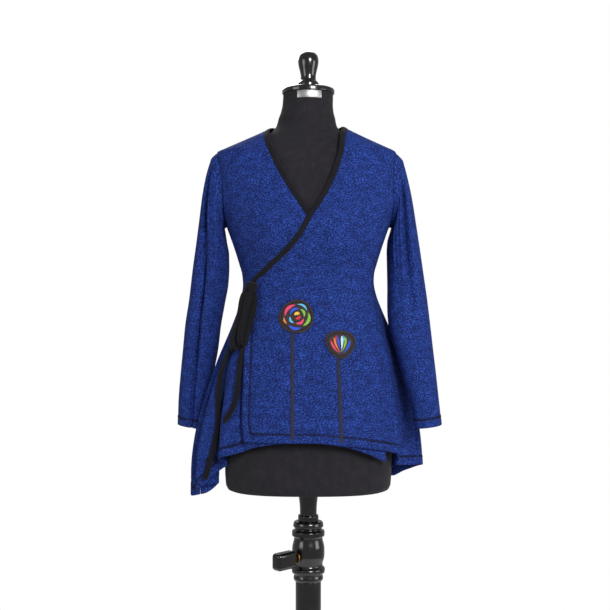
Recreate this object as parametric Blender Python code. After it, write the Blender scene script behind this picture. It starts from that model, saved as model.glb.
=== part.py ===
"""A blue knit wrap cardigan, tied at the side, on a limbless dress form with a turned stand.

Metres, +Z up, front towards -Y. The origin is on the floor, under the centre of the pole.
"""

import math
from collections import namedtuple

import bmesh
import bpy
import numpy as np
from mathutils import Matrix, Vector

# Cloth
WALL = 0.0018
SEAM_GAP = 0.0003
LAYER_GAP = 0.0022
BAND_WIDTH = 0.012
BAND_STEP = 0.0004
ROUNDNESS = 2.35

# Armholes and side seams
SHOULDER_TIP_Z = 1.384
ARMPIT_Z = 1.226
ARMHOLE_HALF_ANGLE = math.radians(19.0)
NECK_POINT_Z = 1.4375
BACK_NECK_RISE = 0.003
WAIST_Z = 1.110
UNDERARM_STEP = 0.0006

# Grids of the cloth: columns across, rows down
FRONT_COLUMNS = 18
UNDER_COLUMNS = 16
BACK_COLUMNS = 26
NECK_COLUMNS = 8
ARMHOLE_ROWS = 10
WAIST_ROW = 17
PANEL_ROWS = 26
SLEEVE_SIDES = 2 * ARMHOLE_ROWS
SLEEVE_ROWS = 15

# Dress form
TORSO_SIDES = 30
TORSO_BOTTOM_Z = 0.670
NECK_RADIUS = 0.053
NECK_TOP_Z = 1.5097
CAP_TOP_Z = 1.5225
TURNED_SIDES = 20
BASE_SIDES = 36

# Stand
MAST_RADIUS = 0.0120
BORE_RADIUS = 0.0124
BORE_BOTTOM_Z = 0.318
MAST_BOTTOM_Z = 0.330
MAST_TOP_Z = 0.640
HEAD_TOP_Z = 0.6009
HEAD_BOTTOM_Z = 0.4746
POLE_RADIUS = 0.027
BASE_RADIUS = 0.170
BASE_TOP_Z = 0.024
KNOB_Z = 0.5280
KNOB_TURN = math.radians(225.0)

Section = namedtuple("Section", "z half_width front back")
BODY_SECTIONS = [
    Section(1.460, 0.0600, 0.0560, 0.0560),
    Section(1.445, 0.0662, 0.0590, 0.0605),
    Section(1.4375, 0.0690, 0.0612, 0.0632),
    Section(1.4335, 0.0785, 0.0650, 0.0670),
    Section(1.420, 0.1085, 0.0730, 0.0760),
    Section(1.402, 0.1495, 0.0840, 0.0860),
    Section(1.390, 0.1770, 0.0910, 0.0915),
    Section(1.384, 0.1893, 0.0945, 0.0940),
    Section(1.372, 0.1955, 0.0990, 0.0980),
    Section(1.340, 0.1980, 0.1090, 0.1060),
    Section(1.300, 0.1950, 0.1200, 0.1120),
    Section(1.260, 0.1840, 0.1290, 0.1130),
    Section(1.226, 0.1720, 0.1340, 0.1090),
    Section(1.187, 0.1580, 0.1310, 0.1010),
    Section(1.150, 0.1463, 0.1185, 0.0915),
    Section(1.125, 0.1395, 0.1110, 0.0855),
    Section(1.105, 0.1378, 0.1078, 0.0842),
    Section(1.085, 0.1400, 0.1070, 0.0855),
    Section(1.060, 0.1460, 0.1085, 0.0888),
    Section(1.018, 0.1580, 0.1140, 0.0960),
    Section(0.939, 0.1770, 0.1230, 0.1090),
    Section(0.860, 0.1860, 0.1300, 0.1160),
    Section(0.780, 0.1890, 0.1350, 0.1200),
    Section(0.640, 0.1900, 0.1390, 0.1230),
]

Lean = namedtuple("Lean", "z shift_x")
BODY_LEAN = [
    Lean(0.60, 0.0),
    Lean(1.22, -0.0010),
    Lean(1.384, -0.0040),
    Lean(1.440, -0.0035),
    Lean(1.500, -0.0005),
]

Bust = namedtuple("Bust", "angle z swell half_angle half_height")
BUSTS = [
    Bust(-27.0, 1.222, 0.007, 17.0, 0.060),
    Bust(27.0, 1.222, 0.007, 17.0, 0.060),
]

# Folds of the skirt part: how far each stands out at the hem, the angle being 0 in front, 90 at the wearer's left
Fold = namedtuple("Fold", "angle half_angle swell top_z")
FOLDS = [
    Fold(-94.0, 7.5, 0.055, 1.06),
    Fold(-88.0, 3.0, -0.010, 0.95),
    Fold(-80.5, 4.5, 0.030, 1.02),
    Fold(-72.0, 4.0, -0.007, 0.95),
    Fold(-112.0, 7.0, -0.012, 0.98),
    Fold(-132.0, 9.0, 0.026, 1.02),
    Fold(-156.0, 9.0, -0.010, 0.98),
    Fold(180.0, 10.0, 0.020, 1.02),
    Fold(154.0, 9.0, -0.012, 0.98),
    Fold(133.0, 8.0, 0.024, 1.00),
    Fold(114.0, 6.0, -0.010, 0.96),
    Fold(97.0, 8.5, 0.070, 1.06),
    Fold(76.0, 4.0, -0.012, 0.97),
    Fold(30.0, 12.0, 0.003, 0.98),
    Fold(5.0, 10.0, -0.002, 0.98),
    Fold(-35.0, 11.0, 0.003, 0.96),
]

Hem = namedtuple("Hem", "angle z")
HEM = [
    Hem(-180.0, 0.765),
    Hem(-150.0, 0.752),
    Hem(-130.0, 0.722),
    Hem(-110.0, 0.690),
    Hem(-97.0, 0.656),
    Hem(-92.0, 0.658),
    Hem(-88.0, 0.676),
    Hem(-84.0, 0.668),
    Hem(-80.0, 0.690),
    Hem(-75.0, 0.722),
    Hem(-71.0, 0.742),
    Hem(-57.0, 0.757),
    Hem(-39.0, 0.772),
    Hem(0.0, 0.778),
    Hem(30.0, 0.768),
    Hem(60.0, 0.742),
    Hem(90.0, 0.722),
    Hem(98.0, 0.720),
    Hem(107.0, 0.699),
    Hem(118.0, 0.712),
    Hem(135.0, 0.736),
    Hem(155.0, 0.757),
    Hem(180.0, 0.765),
]
OVER_HEM = [
    Hem(-60.0, 0.7835),
    Hem(0.0, 0.7838),
    Hem(28.0, 0.7780),
    Hem(54.0, 0.7660),
    Hem(69.0, 0.7545),
    Hem(74.0, 0.7330),
    Hem(80.0, 0.7260),
    Hem(90.0, 0.7220),
]

# Free edges as seen from the front: neck point, V, waist, hem
EdgePoint = namedtuple("EdgePoint", "x z")
OVER_EDGE = [
    EdgePoint(0.0640, 1.4375),
    EdgePoint(0.0660, 1.4200),
    EdgePoint(0.0647, 1.4065),
    EdgePoint(0.0619, 1.3819),
    EdgePoint(0.0533, 1.3502),
    EdgePoint(0.0391, 1.3120),
    EdgePoint(0.0176, 1.2722),
    EdgePoint(-0.0006, 1.2454),
    EdgePoint(-0.0203, 1.2110),
    EdgePoint(-0.0420, 1.1830),
    EdgePoint(-0.0822, 1.1450),
    EdgePoint(-0.1100, 1.1180),
]
OVER_FREE_EDGE = [
    EdgePoint(-0.1180, 1.0900),
    EdgePoint(-0.1265, 1.0200),
    EdgePoint(-0.1300, 0.9510),
    EdgePoint(-0.1335, 0.8270),
    EdgePoint(-0.1285, 0.7835),
]
UNDER_EDGE = [
    EdgePoint(-0.0710, 1.4375),
    EdgePoint(-0.0815, 1.4174),
    EdgePoint(-0.0800, 1.4026),
    EdgePoint(-0.0724, 1.3829),
    EdgePoint(-0.0574, 1.3489),
    EdgePoint(-0.0352, 1.3089),
    EdgePoint(-0.0107, 1.2711),
    EdgePoint(0.0044, 1.2478),
    EdgePoint(0.0220, 1.2150),
    EdgePoint(0.0430, 1.1840),
    EdgePoint(0.0830, 1.1460),
    EdgePoint(0.1090, 1.1180),
]
UNDER_FREE_EDGE = [
    EdgePoint(0.1160, 1.0900),
    EdgePoint(0.1330, 1.0000),
    EdgePoint(0.1460, 0.9000),
    EdgePoint(0.1560, 0.8100),
    EdgePoint(0.1590, 0.7430),
]

# Sleeves: the outer and inner side of each section seen from the front, its middle in depth and half depth
Cuff = namedtuple("Cuff", "outer_x outer_z inner_x inner_z middle_y half_depth")
RIGHT_SLEEVE = [
    Cuff(-0.2065, 1.3700, -0.1795, 1.2225, 0.000, 0.060),
    Cuff(-0.2165, 1.3370, -0.1785, 1.2110, 0.000, 0.060),
    Cuff(-0.2254, 1.2910, -0.1755, 1.1920, 0.001, 0.059),
    Cuff(-0.2322, 1.2400, -0.1710, 1.1680, 0.004, 0.057),
    Cuff(-0.2392, 1.1900, -0.1690, 1.1400, 0.008, 0.055),
    Cuff(-0.2460, 1.1380, -0.1710, 1.1080, 0.013, 0.052),
    Cuff(-0.2530, 1.0720, -0.1800, 1.0600, 0.020, 0.050),
    Cuff(-0.2592, 1.0200, -0.1880, 1.0180, 0.028, 0.047),
    Cuff(-0.2640, 0.9650, -0.1980, 0.9640, 0.037, 0.044),
    Cuff(-0.2685, 0.9100, -0.2080, 0.9080, 0.046, 0.041),
    Cuff(-0.2725, 0.8560, -0.2170, 0.8520, 0.054, 0.038),
    Cuff(-0.2767, 0.8004, -0.2230, 0.7910, 0.060, 0.035),
]
LEFT_SLEEVE = [
    Cuff(0.2010, 1.3660, 0.1800, 1.2240, 0.000, 0.060),
    Cuff(0.2100, 1.3320, 0.1780, 1.2125, -0.001, 0.060),
    Cuff(0.2200, 1.2850, 0.1735, 1.1945, -0.003, 0.059),
    Cuff(0.2285, 1.2300, 0.1700, 1.1680, -0.006, 0.057),
    Cuff(0.2355, 1.1820, 0.1695, 1.1380, -0.010, 0.055),
    Cuff(0.2425, 1.1300, 0.1700, 1.1020, -0.016, 0.052),
    Cuff(0.2500, 1.0718, 0.1715, 1.0560, -0.024, 0.050),
    Cuff(0.2550, 1.0250, 0.1760, 1.0160, -0.031, 0.047),
    Cuff(0.2610, 0.9650, 0.1880, 0.9600, -0.040, 0.044),
    Cuff(0.2665, 0.9100, 0.2010, 0.9060, -0.049, 0.041),
    Cuff(0.2715, 0.8560, 0.2130, 0.8540, -0.057, 0.038),
    Cuff(0.2760, 0.8060, 0.2220, 0.7980, -0.063, 0.035),
]

# Long soft folds of the sleeves: angle round the sleeve from its outer side over its front
SleeveFold = namedtuple("SleeveFold", "angle half_angle depth start end")
RIGHT_SLEEVE_FOLDS = [
    SleeveFold(68.0, 15.0, 0.0065, 0.04, 0.90),
    SleeveFold(108.0, 14.0, -0.0025, 0.10, 0.80),
    SleeveFold(290.0, 20.0, 0.0060, 0.10, 0.85),
]
LEFT_SLEEVE_FOLDS = [
    SleeveFold(86.0, 13.0, 0.0065, 0.04, 0.70),
    SleeveFold(116.0, 11.0, 0.0030, 0.10, 0.62),
    SleeveFold(285.0, 20.0, 0.0060, 0.10, 0.85),
]

# Room between the cloth's inside and the form
Ease = namedtuple("Ease", "z all_round in_front")
FORM_EASE = [
    Ease(1.450, 0.0040, 0.0),
    Ease(1.427, 0.0068, 0.0),
    Ease(1.380, 0.0050, 0.0),
    Ease(1.340, 0.0042, 0.0),
    Ease(1.270, 0.0040, 0.0),
    Ease(1.225, 0.0012, 0.0),
    Ease(1.190, 0.0020, 0.001),
    Ease(1.110, 0.0080, 0.006),
    Ease(0.939, 0.0060, 0.010),
    Ease(0.850, 0.0080, 0.012),
    Ease(0.750, 0.0095, 0.016),
    Ease(0.640, 0.0130, 0.018),
]
TORSO_HEIGHTS = [0.70, 0.74, 0.80, 0.86, 0.92, 0.98, 1.03, 1.07, 1.10, 1.13, 1.16, 1.19, 1.22, 1.25, 1.28, 1.31,
                 1.34, 1.365, 1.380, 1.391, 1.403, 1.415, 1.4265, 1.4335]
TORSO_FOOT = [(0.6700, 0.945), (0.6720, 0.975), (0.6790, 0.994)]
NeckRing = namedtuple("NeckRing", "z half_width half_depth")
NECK_RINGS = [
    NeckRing(1.4400, 0.0614, 0.0546),
    NeckRing(1.4470, 0.0603, 0.0542),
    NeckRing(1.4570, 0.0595, 0.0548),
    NeckRing(1.4710, 0.0557, 0.0538),
    NeckRing(1.4870, 0.0535, 0.0530),
    NeckRing(NECK_TOP_Z, NECK_RADIUS, NECK_RADIUS),
]

# Applique
Flower = namedtuple("Flower", "x z")
ROUND_FLOWER = Flower(-0.0233, 1.0373)
TULIP_FLOWER = Flower(0.0631, 0.9800)
ROUND_RADIUS = 0.0347
TULIP_HALF_WIDTH = 0.0317
TULIP_HALF_HEIGHT = 0.0290
RIM_WIDTH = 0.0052
RIM_HEIGHT = 0.0024
PATCH_HEIGHT = 0.0016
APPLIQUE_SEAT = 0.0005
STEM_WIDTH = 0.0060
STEM_HEIGHT = 0.0010
FLOWER_SIDES = 24
STEM_ROWS = 12
ROUND_STEM = ((-0.0325, 1.0018), (-0.0322, 0.7900))
TULIP_STEM = ((0.0595, 0.9500), (0.0655, 0.7860))

# The tie: soft flat strips of jersey from a knot at the waist, placed as seen from the front and out of the cloth
TIE_WIDTH = 0.0150
TIE_KNOT_WIDTH = 0.0100
TIE_TAPER = 0.024
TIE_THICKNESS = 0.0032
TIE_FACE = Vector((-0.49, -0.87, 0.0))
KNOT_HALF = Vector((0.0115, 0.0085, 0.0115))
RoutePoint = namedtuple("RoutePoint", "x z out")
KNOT = RoutePoint(-0.1185, 1.1060, 0.0120)
OUTER_LOOP = [
    RoutePoint(-0.1225, 1.0915, 0.0140),
    RoutePoint(-0.1326, 1.0712, 0.0155),
    RoutePoint(-0.1409, 1.0344, 0.0155),
    RoutePoint(-0.1513, 0.9954, 0.0145),
    RoutePoint(-0.1587, 0.9748, 0.0130),
    RoutePoint(-0.1615, 0.9670, 0.0108),
    RoutePoint(-0.1583, 0.9740, 0.0088),
    RoutePoint(-0.1498, 1.0000, 0.0088),
    RoutePoint(-0.1393, 1.0375, 0.0090),
    RoutePoint(-0.1305, 1.0700, 0.0092),
    RoutePoint(-0.1225, 1.0915, 0.0092),
]
INNER_LOOP = [
    RoutePoint(-0.1120, 1.0934, 0.0145),
    RoutePoint(-0.1120, 1.0712, 0.0165),
    RoutePoint(-0.1158, 1.0406, 0.0165),
    RoutePoint(-0.1229, 1.0101, 0.0155),
    RoutePoint(-0.1294, 0.9897, 0.0140),
    RoutePoint(-0.1323, 0.9820, 0.0118),
    RoutePoint(-0.1304, 0.9890, 0.0098),
    RoutePoint(-0.1243, 1.0130, 0.0098),
    RoutePoint(-0.1173, 1.0437, 0.0100),
    RoutePoint(-0.1130, 1.0700, 0.0100),
    RoutePoint(-0.1120, 1.0934, 0.0098),
]
LONG_TAIL = [
    RoutePoint(-0.1250, 1.0938, 0.0032),
    RoutePoint(-0.1300, 1.0713, 0.0024),
    RoutePoint(-0.1400, 1.0258, 0.0024),
    RoutePoint(-0.1529, 0.9864, 0.0028),
    RoutePoint(-0.1667, 0.9600, 0.0032),
    RoutePoint(-0.1810, 0.9223, 0.0034),
    RoutePoint(-0.1869, 0.8725, 0.0037),
    RoutePoint(-0.1871, 0.8227, 0.0037),
    RoutePoint(-0.1917, 0.7896, 0.0040),
    RoutePoint(-0.1990, 0.7561, 0.0042),
    RoutePoint(-0.2150, 0.6987, 0.0047),
]
SHORT_TAIL = [
    RoutePoint(-0.1125, 1.0927, 0.0056),
    RoutePoint(-0.1165, 1.0713, 0.0026),
    RoutePoint(-0.1215, 1.0303, 0.0030),
    RoutePoint(-0.1275, 0.9890, 0.0035),
    RoutePoint(-0.1334, 0.9691, 0.0037),
    RoutePoint(-0.1392, 0.9412, 0.0039),
    RoutePoint(-0.1440, 0.8916, 0.0043),
    RoutePoint(-0.1506, 0.8600, 0.0045),
    RoutePoint(-0.1641, 0.8332, 0.0048),
    RoutePoint(-0.1726, 0.8211, 0.0051),
]

# Turned profiles: radius and height, from the bottom up
Turning = namedtuple("Turning", "radius z")
FINIAL = [
    Turning(0.0, 1.5228),
    Turning(0.0222, 1.5228),
    Turning(0.0222, 1.5320),
    Turning(0.0200, 1.5355),
    Turning(0.0163, 1.5400),
    Turning(0.0160, 1.5470),
    Turning(0.0180, 1.5590),
    Turning(0.0208, 1.5710),
    Turning(0.0218, 1.5800),
    Turning(0.0205, 1.5890),
    Turning(0.0160, 1.5960),
    Turning(0.0085, 1.5993),
    Turning(0.0, 1.6000),
]
NECK_CAP = [
    Turning(0.0, 1.5100),
    Turning(0.0548, 1.5100),
    Turning(0.0558, 1.5112),
    Turning(0.0558, 1.5165),
    Turning(0.0540, 1.5198),
    Turning(0.0480, 1.5216),
    Turning(0.0300, CAP_TOP_Z),
    Turning(0.0, CAP_TOP_Z),
]
FERRULE = [
    Turning(0.0, MAST_TOP_Z + SEAM_GAP),
    Turning(BORE_RADIUS, MAST_TOP_Z + SEAM_GAP),
    Turning(BORE_RADIUS, 0.6012),
    Turning(0.0205, 0.6012),
    Turning(0.0218, 0.6030),
    Turning(0.0218, 0.6125),
    Turning(0.0205, 0.6146),
    Turning(0.0177, 0.6150),
    Turning(0.0181, 0.6320),
    Turning(0.0202, 0.6540),
    Turning(0.0208, 0.6697),
    Turning(0.0, 0.6697),
]
POLE_HEAD = [
    Turning(BORE_RADIUS, HEAD_BOTTOM_Z),
    Turning(0.0285, HEAD_BOTTOM_Z),
    Turning(0.0316, 0.4810),
    Turning(0.0300, 0.4889),
    Turning(0.0345, 0.4925),
    Turning(0.0355, 0.5000),
    Turning(0.0300, 0.5086),
    Turning(0.0345, 0.5290),
    Turning(0.0345, 0.5430),
    Turning(0.0300, 0.5672),
    Turning(0.0348, 0.5715),
    Turning(0.0348, 0.5800),
    Turning(0.0278, 0.5856),
    Turning(0.0322, 0.5910),
    Turning(0.0312, 0.5980),
    Turning(0.0285, HEAD_TOP_Z),
    Turning(BORE_RADIUS, HEAD_TOP_Z),
]
LOWER_POLE = [
    Turning(0.0, BASE_TOP_Z + SEAM_GAP),
    Turning(0.0420, BASE_TOP_Z + SEAM_GAP),
    Turning(0.0420, 0.0320),
    Turning(0.0380, 0.0370),
    Turning(0.0290, 0.0400),
    Turning(POLE_RADIUS, 0.0500),
    Turning(POLE_RADIUS, HEAD_BOTTOM_Z - SEAM_GAP),
    Turning(BORE_RADIUS, HEAD_BOTTOM_Z - SEAM_GAP),
    Turning(BORE_RADIUS, BORE_BOTTOM_Z),
    Turning(0.0, BORE_BOTTOM_Z),
]
MAST = [
    Turning(0.0, MAST_BOTTOM_Z),
    Turning(MAST_RADIUS - 0.001, MAST_BOTTOM_Z),
    Turning(MAST_RADIUS, MAST_BOTTOM_Z + 0.001),
    Turning(MAST_RADIUS, MAST_TOP_Z),
    Turning(0.0, MAST_TOP_Z),
]
BASE = [
    Turning(0.0, 0.0),
    Turning(BASE_RADIUS - 0.003, 0.0),
    Turning(BASE_RADIUS, 0.003),
    Turning(BASE_RADIUS, 0.010),
    Turning(BASE_RADIUS - 0.006, 0.0155),
    Turning(0.0600, BASE_TOP_Z),
    Turning(0.0, BASE_TOP_Z),
]

# Clamp knob: lengths along its screw, which leaves the pole head at KNOB_TURN
WASHER_START = 0.0349
WASHER_THICKNESS = 0.0030
WASHER_RADIUS = 0.0110
KNOB_SIDES = 20
KNOB_ROUNDNESS = 3.0
KnobRing = namedtuple("KnobRing", "along half_depth half_height")
KNOB_RINGS = [
    KnobRing(0.0382, 0.0075, 0.0075),
    KnobRing(0.0437, 0.0075, 0.0075),
    KnobRing(0.0440, 0.0105, 0.0145),
    KnobRing(0.0470, 0.0127, 0.0174),
    KnobRing(0.0540, 0.0131, 0.0180),
    KnobRing(0.0840, 0.0131, 0.0180),
    KnobRing(0.0920, 0.0122, 0.0168),
    KnobRing(0.0958, 0.0090, 0.0128),
    KnobRing(0.0967, 0.0050, 0.0080),
]

# Neck plate
PLATE_WIDTH = 0.0520
PLATE_BOTTOM_Z = 1.4936
PLATE_TOP_Z = 1.5090
PLATE_SHIFT = 0.003
PLATE_SEAT = 0.0004
PLATE_THICKNESS = 0.0010
PLATE_COLUMNS = 10

# Materials: colour, roughness, metallic
Finish = namedtuple("Finish", "colour roughness metallic")
FINISHES = {
    "knit": Finish((0.020, 0.045, 0.28), 0.92, 0.0),
    "binding": Finish((0.012, 0.011, 0.013), 0.85, 0.0),
    "applique": Finish((0.45, 0.10, 0.14), 0.70, 0.0),
    "stitching": Finish((0.020, 0.014, 0.018), 0.80, 0.0),
    "form_jersey": Finish((0.028, 0.025, 0.028), 0.80, 0.0),
    "black_gloss": Finish((0.010, 0.010, 0.012), 0.25, 0.0),
    "steel": Finish((0.62, 0.61, 0.60), 0.35, 1.0),
    "brass": Finish((0.60, 0.42, 0.20), 0.35, 1.0),
    "iron": Finish((0.012, 0.012, 0.013), 0.45, 0.2),
}


class Curve:
    """A smooth curve through a table's points, which never overshoots them."""

    def __init__(self, places, values):
        order = np.argsort(places)
        self.places = np.array(places, float)[order]
        self.values = np.array(values, float)[order]
        rise = np.diff(self.values) / np.diff(self.places)
        self.slopes = np.zeros(len(self.places))
        self.slopes[0], self.slopes[-1] = rise[0], rise[-1]
        for i in range(1, len(rise)):
            if rise[i - 1] * rise[i] > 0:
                self.slopes[i] = 2 * rise[i - 1] * rise[i] / (rise[i - 1] + rise[i])

    def __call__(self, place):
        place = min(max(place, self.places[0]), self.places[-1])
        i = int(np.searchsorted(self.places, place, side="right")) - 1
        i = min(max(i, 0), len(self.places) - 2)
        span = self.places[i + 1] - self.places[i]
        t = (place - self.places[i]) / span
        near = (1 + 2 * t) * (1 - t) ** 2 * self.values[i] + t * (1 - t) ** 2 * span * self.slopes[i]
        far = t * t * (3 - 2 * t) * self.values[i + 1] - t * t * (1 - t) * span * self.slopes[i + 1]
        return near + far


def column(table, name):
    """One named column of a table."""
    return [getattr(row, name) for row in table]


def table_curve(table, place, value):
    """The smooth curve of one column of a table over another."""
    return Curve(column(table, place), column(table, value))


half_width_at = table_curve(BODY_SECTIONS, "z", "half_width")
front_at = table_curve(BODY_SECTIONS, "z", "front")
back_at = table_curve(BODY_SECTIONS, "z", "back")
lean_at = table_curve(BODY_LEAN, "z", "shift_x")
ease_at = table_curve(FORM_EASE, "z", "all_round")
front_ease_at = table_curve(FORM_EASE, "z", "in_front")
hem_at = table_curve(HEM, "angle", "z")
over_hem_at = table_curve(OVER_HEM, "angle", "z")


def turn_between(angle, centre_degrees):
    """The shortest turn from a fold's centre to an angle, in degrees."""
    return (math.degrees(angle) - centre_degrees + 180.0) % 360.0 - 180.0


def fold_swell(angle, z):
    """How far the skirt's folds stand out at an angle and height."""
    total = 0.0
    for fold in FOLDS:
        if z >= fold.top_z:
            continue
        drop = min((fold.top_z - z) / (fold.top_z - 0.70), 1.12)
        away = turn_between(angle, fold.angle) / fold.half_angle
        total += fold.swell * drop ** 1.35 * math.exp(-away * away)
    return total


def bust_swell(angle, z):
    """The soft swell of the form's chest."""
    total = 0.0
    for bust in BUSTS:
        across = turn_between(angle, bust.angle) / bust.half_angle
        up = (z - bust.z) / bust.half_height
        total += bust.swell * math.exp(-across * across - up * up)
    return total


def surface_point(angle, z, folded=True):
    """A point of the cloth's outer surface: angle 0 in front, pi/2 at +X."""
    depth = front_at(z) if math.cos(angle) > 0 else back_at(z)
    across = abs(math.sin(angle)) / half_width_at(z)
    along = abs(math.cos(angle)) / depth
    radius = (across ** ROUNDNESS + along ** ROUNDNESS) ** (-1 / ROUNDNESS) + bust_swell(angle, z)
    if folded:
        radius += fold_swell(angle, z)
    return Vector((radius * math.sin(angle) + lean_at(z), -radius * math.cos(angle), z))


def surface_normal(angle, z, folded=True):
    """The outward normal of the cloth's surface."""
    turn, rise = 0.004, 0.0006
    across = surface_point(angle + turn, z, folded) - surface_point(angle - turn, z, folded)
    up = surface_point(angle, z + rise, folded) - surface_point(angle, z - rise, folded)
    return across.cross(up).normalized()


def cloth_point(angle, z, out=0.0, folded=True):
    """A point moved out of the cloth's surface."""
    return surface_point(angle, z, folded) + surface_normal(angle, z, folded) * out


def angle_at(x, z):
    """The angle of the front half where the surface has a given x."""
    low, high = -math.pi / 2, math.pi / 2
    for _ in range(40):
        middle = (low + high) / 2
        if surface_point(middle, z).x < x:
            low = middle
        else:
            high = middle
    return (low + high) / 2


def seam_turn(z):
    """Half a seam's gap as an angle."""
    return SEAM_GAP / 2 / half_width_at(z)


def armhole(turn, side, grow):
    """Angle and height on an armhole's edge: turn 0 at the shoulder tip, pi at the armpit, over the front."""
    half_height = (SHOULDER_TIP_Z - ARMPIT_Z) / 2
    z = (SHOULDER_TIP_Z + ARMPIT_Z) / 2 + (half_height + grow) * math.cos(turn)
    swing = (ARMHOLE_HALF_ANGLE + grow / half_width_at(z)) * math.sin(turn)
    return side * (math.pi / 2 - swing), z


def side_edge(row, side, front, hem_z):
    """Angle and height down a panel's outer edge: armhole, then side seam."""
    facing = 1.0 if front else -1.0
    if row <= ARMHOLE_ROWS:
        turn = math.pi * row / ARMHOLE_ROWS * facing
        angle, z = armhole(turn, side, SEAM_GAP)
    else:
        armpit = ARMPIT_Z - SEAM_GAP
        if row <= WAIST_ROW:
            z = armpit + (WAIST_Z - armpit) * (row - ARMHOLE_ROWS) / (WAIST_ROW - ARMHOLE_ROWS)
        else:
            z = WAIST_Z + (hem_z - WAIST_Z) * (row - WAIST_ROW) / (PANEL_ROWS - WAIST_ROW)
        angle = side * math.pi / 2
    return angle - side * facing * seam_turn(z), z


def path_through(points, count):
    """Points at even lengths along a smooth line through an edge's points."""
    flat = [Vector((point.x, point.z)) for point in points]
    length = [0.0]
    for start, end in zip(flat, flat[1:]):
        length.append(length[-1] + (end - start).length)
    across = Curve(length, [point.x for point in flat])
    down = Curve(length, [point.y for point in flat])
    steps = [length[-1] * i / count for i in range(count + 1)]
    return [(across(step), down(step)) for step in steps]


class FrontPanel:
    """One front: rows run from its free edge to its armhole and side seam."""

    def __init__(self, side, neck_edge, free_edge, hem, columns):
        self.side = side
        self.hem = hem
        self.columns = columns
        upper = path_through(neck_edge, WAIST_ROW)
        lower = path_through(neck_edge[-1:] + free_edge, PANEL_ROWS - WAIST_ROW)
        edge = upper + lower[1:]
        self.inner = [(angle_at(x, z), z) for x, z in edge]
        top_angle = side * math.pi / 2 - side * seam_turn(NECK_POINT_Z)
        self.inner[0] = (top_angle, NECK_POINT_Z)
        hem_z = hem(math.degrees(side * math.pi / 2))
        self.outer = [side_edge(row, side, True, hem_z) for row in range(PANEL_ROWS + 1)]
        self.layer = LAYER_GAP + WALL if side > 0 else 0.0

    def place(self, across, row):
        """Angle and height at a share of the way across a row."""
        start, end = self.inner[row], self.outer[row]
        angle = start[0] + (end[0] - start[0]) * across
        z = start[1] + (end[1] - start[1]) * across
        foot_start, foot_end = self.inner[-1], self.outer[-1]
        foot_angle = foot_start[0] + (foot_end[0] - foot_start[0]) * across
        foot_z = foot_start[1] + (foot_end[1] - foot_start[1]) * across
        reach = (row / PANEL_ROWS) ** 3
        return angle, z + reach * (self.hem(math.degrees(foot_angle)) - foot_z)

    def lift(self, angle):
        """How far this front lies out over the other one."""
        fade = (math.degrees(angle) - 66.0) / 20.0
        return self.layer * (1.0 - min(max(fade, 0.0), 1.0))

    def point(self, across, row, out):
        """A point of this front, moved out of its outer side."""
        angle, z = self.place(across, row)
        return cloth_point(angle, z, out + self.lift(angle))

    def band_share(self, row, width):
        """The share of a row that a band of some width along the free edge takes."""
        here = self.point(0.0, row, 0.0)
        inward = self.point(0.08, row, 0.0) - here
        above = self.point(0.0, max(row - 1, 0), 0.0)
        below = self.point(0.0, min(row + 1, PANEL_ROWS), 0.0)
        slant = max(math.sin(inward.angle(below - above)), 0.45)
        return 0.08 * width / slant / inward.length

    def shares(self, row):
        """The shares of a row at which the panel has its columns, closer together near the side."""
        start = self.band_share(row, BAND_WIDTH + SEAM_GAP) if row <= WAIST_ROW else 0.0
        steps = [i / self.columns for i in range(self.columns + 1)]
        dense = [1.0 - (1.0 - step) ** 1.25 for step in steps]
        return [start + (1.0 - start) * step for step in dense]

    def wall(self, name, finish):
        """The panel itself."""
        rows = range(PANEL_ROWS + 1)
        outside = [[self.point(share, row, 0.0) for share in self.shares(row)] for row in rows]
        inside = [[self.point(share, row, -WALL) for share in self.shares(row)] for row in rows]
        return wall_object(name, outside, inside, finish)

    def band(self, name, finish):
        """The binding along the neck edge, a little proud of the panel on both sides."""
        outside, inside = [], []
        for row in range(WAIST_ROW + 1):
            share = self.band_share(row, BAND_WIDTH)
            heights = ((0.0, BAND_STEP * 0.4), (0.5, BAND_STEP * 2), (1.0, BAND_STEP * 0.4))
            outside.append([self.point(share * part, row, height) for part, height in heights])
            inside.append([self.point(share * part, row, -WALL) for part, _ in heights])
        return wall_object(name, outside, inside, finish)


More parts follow.
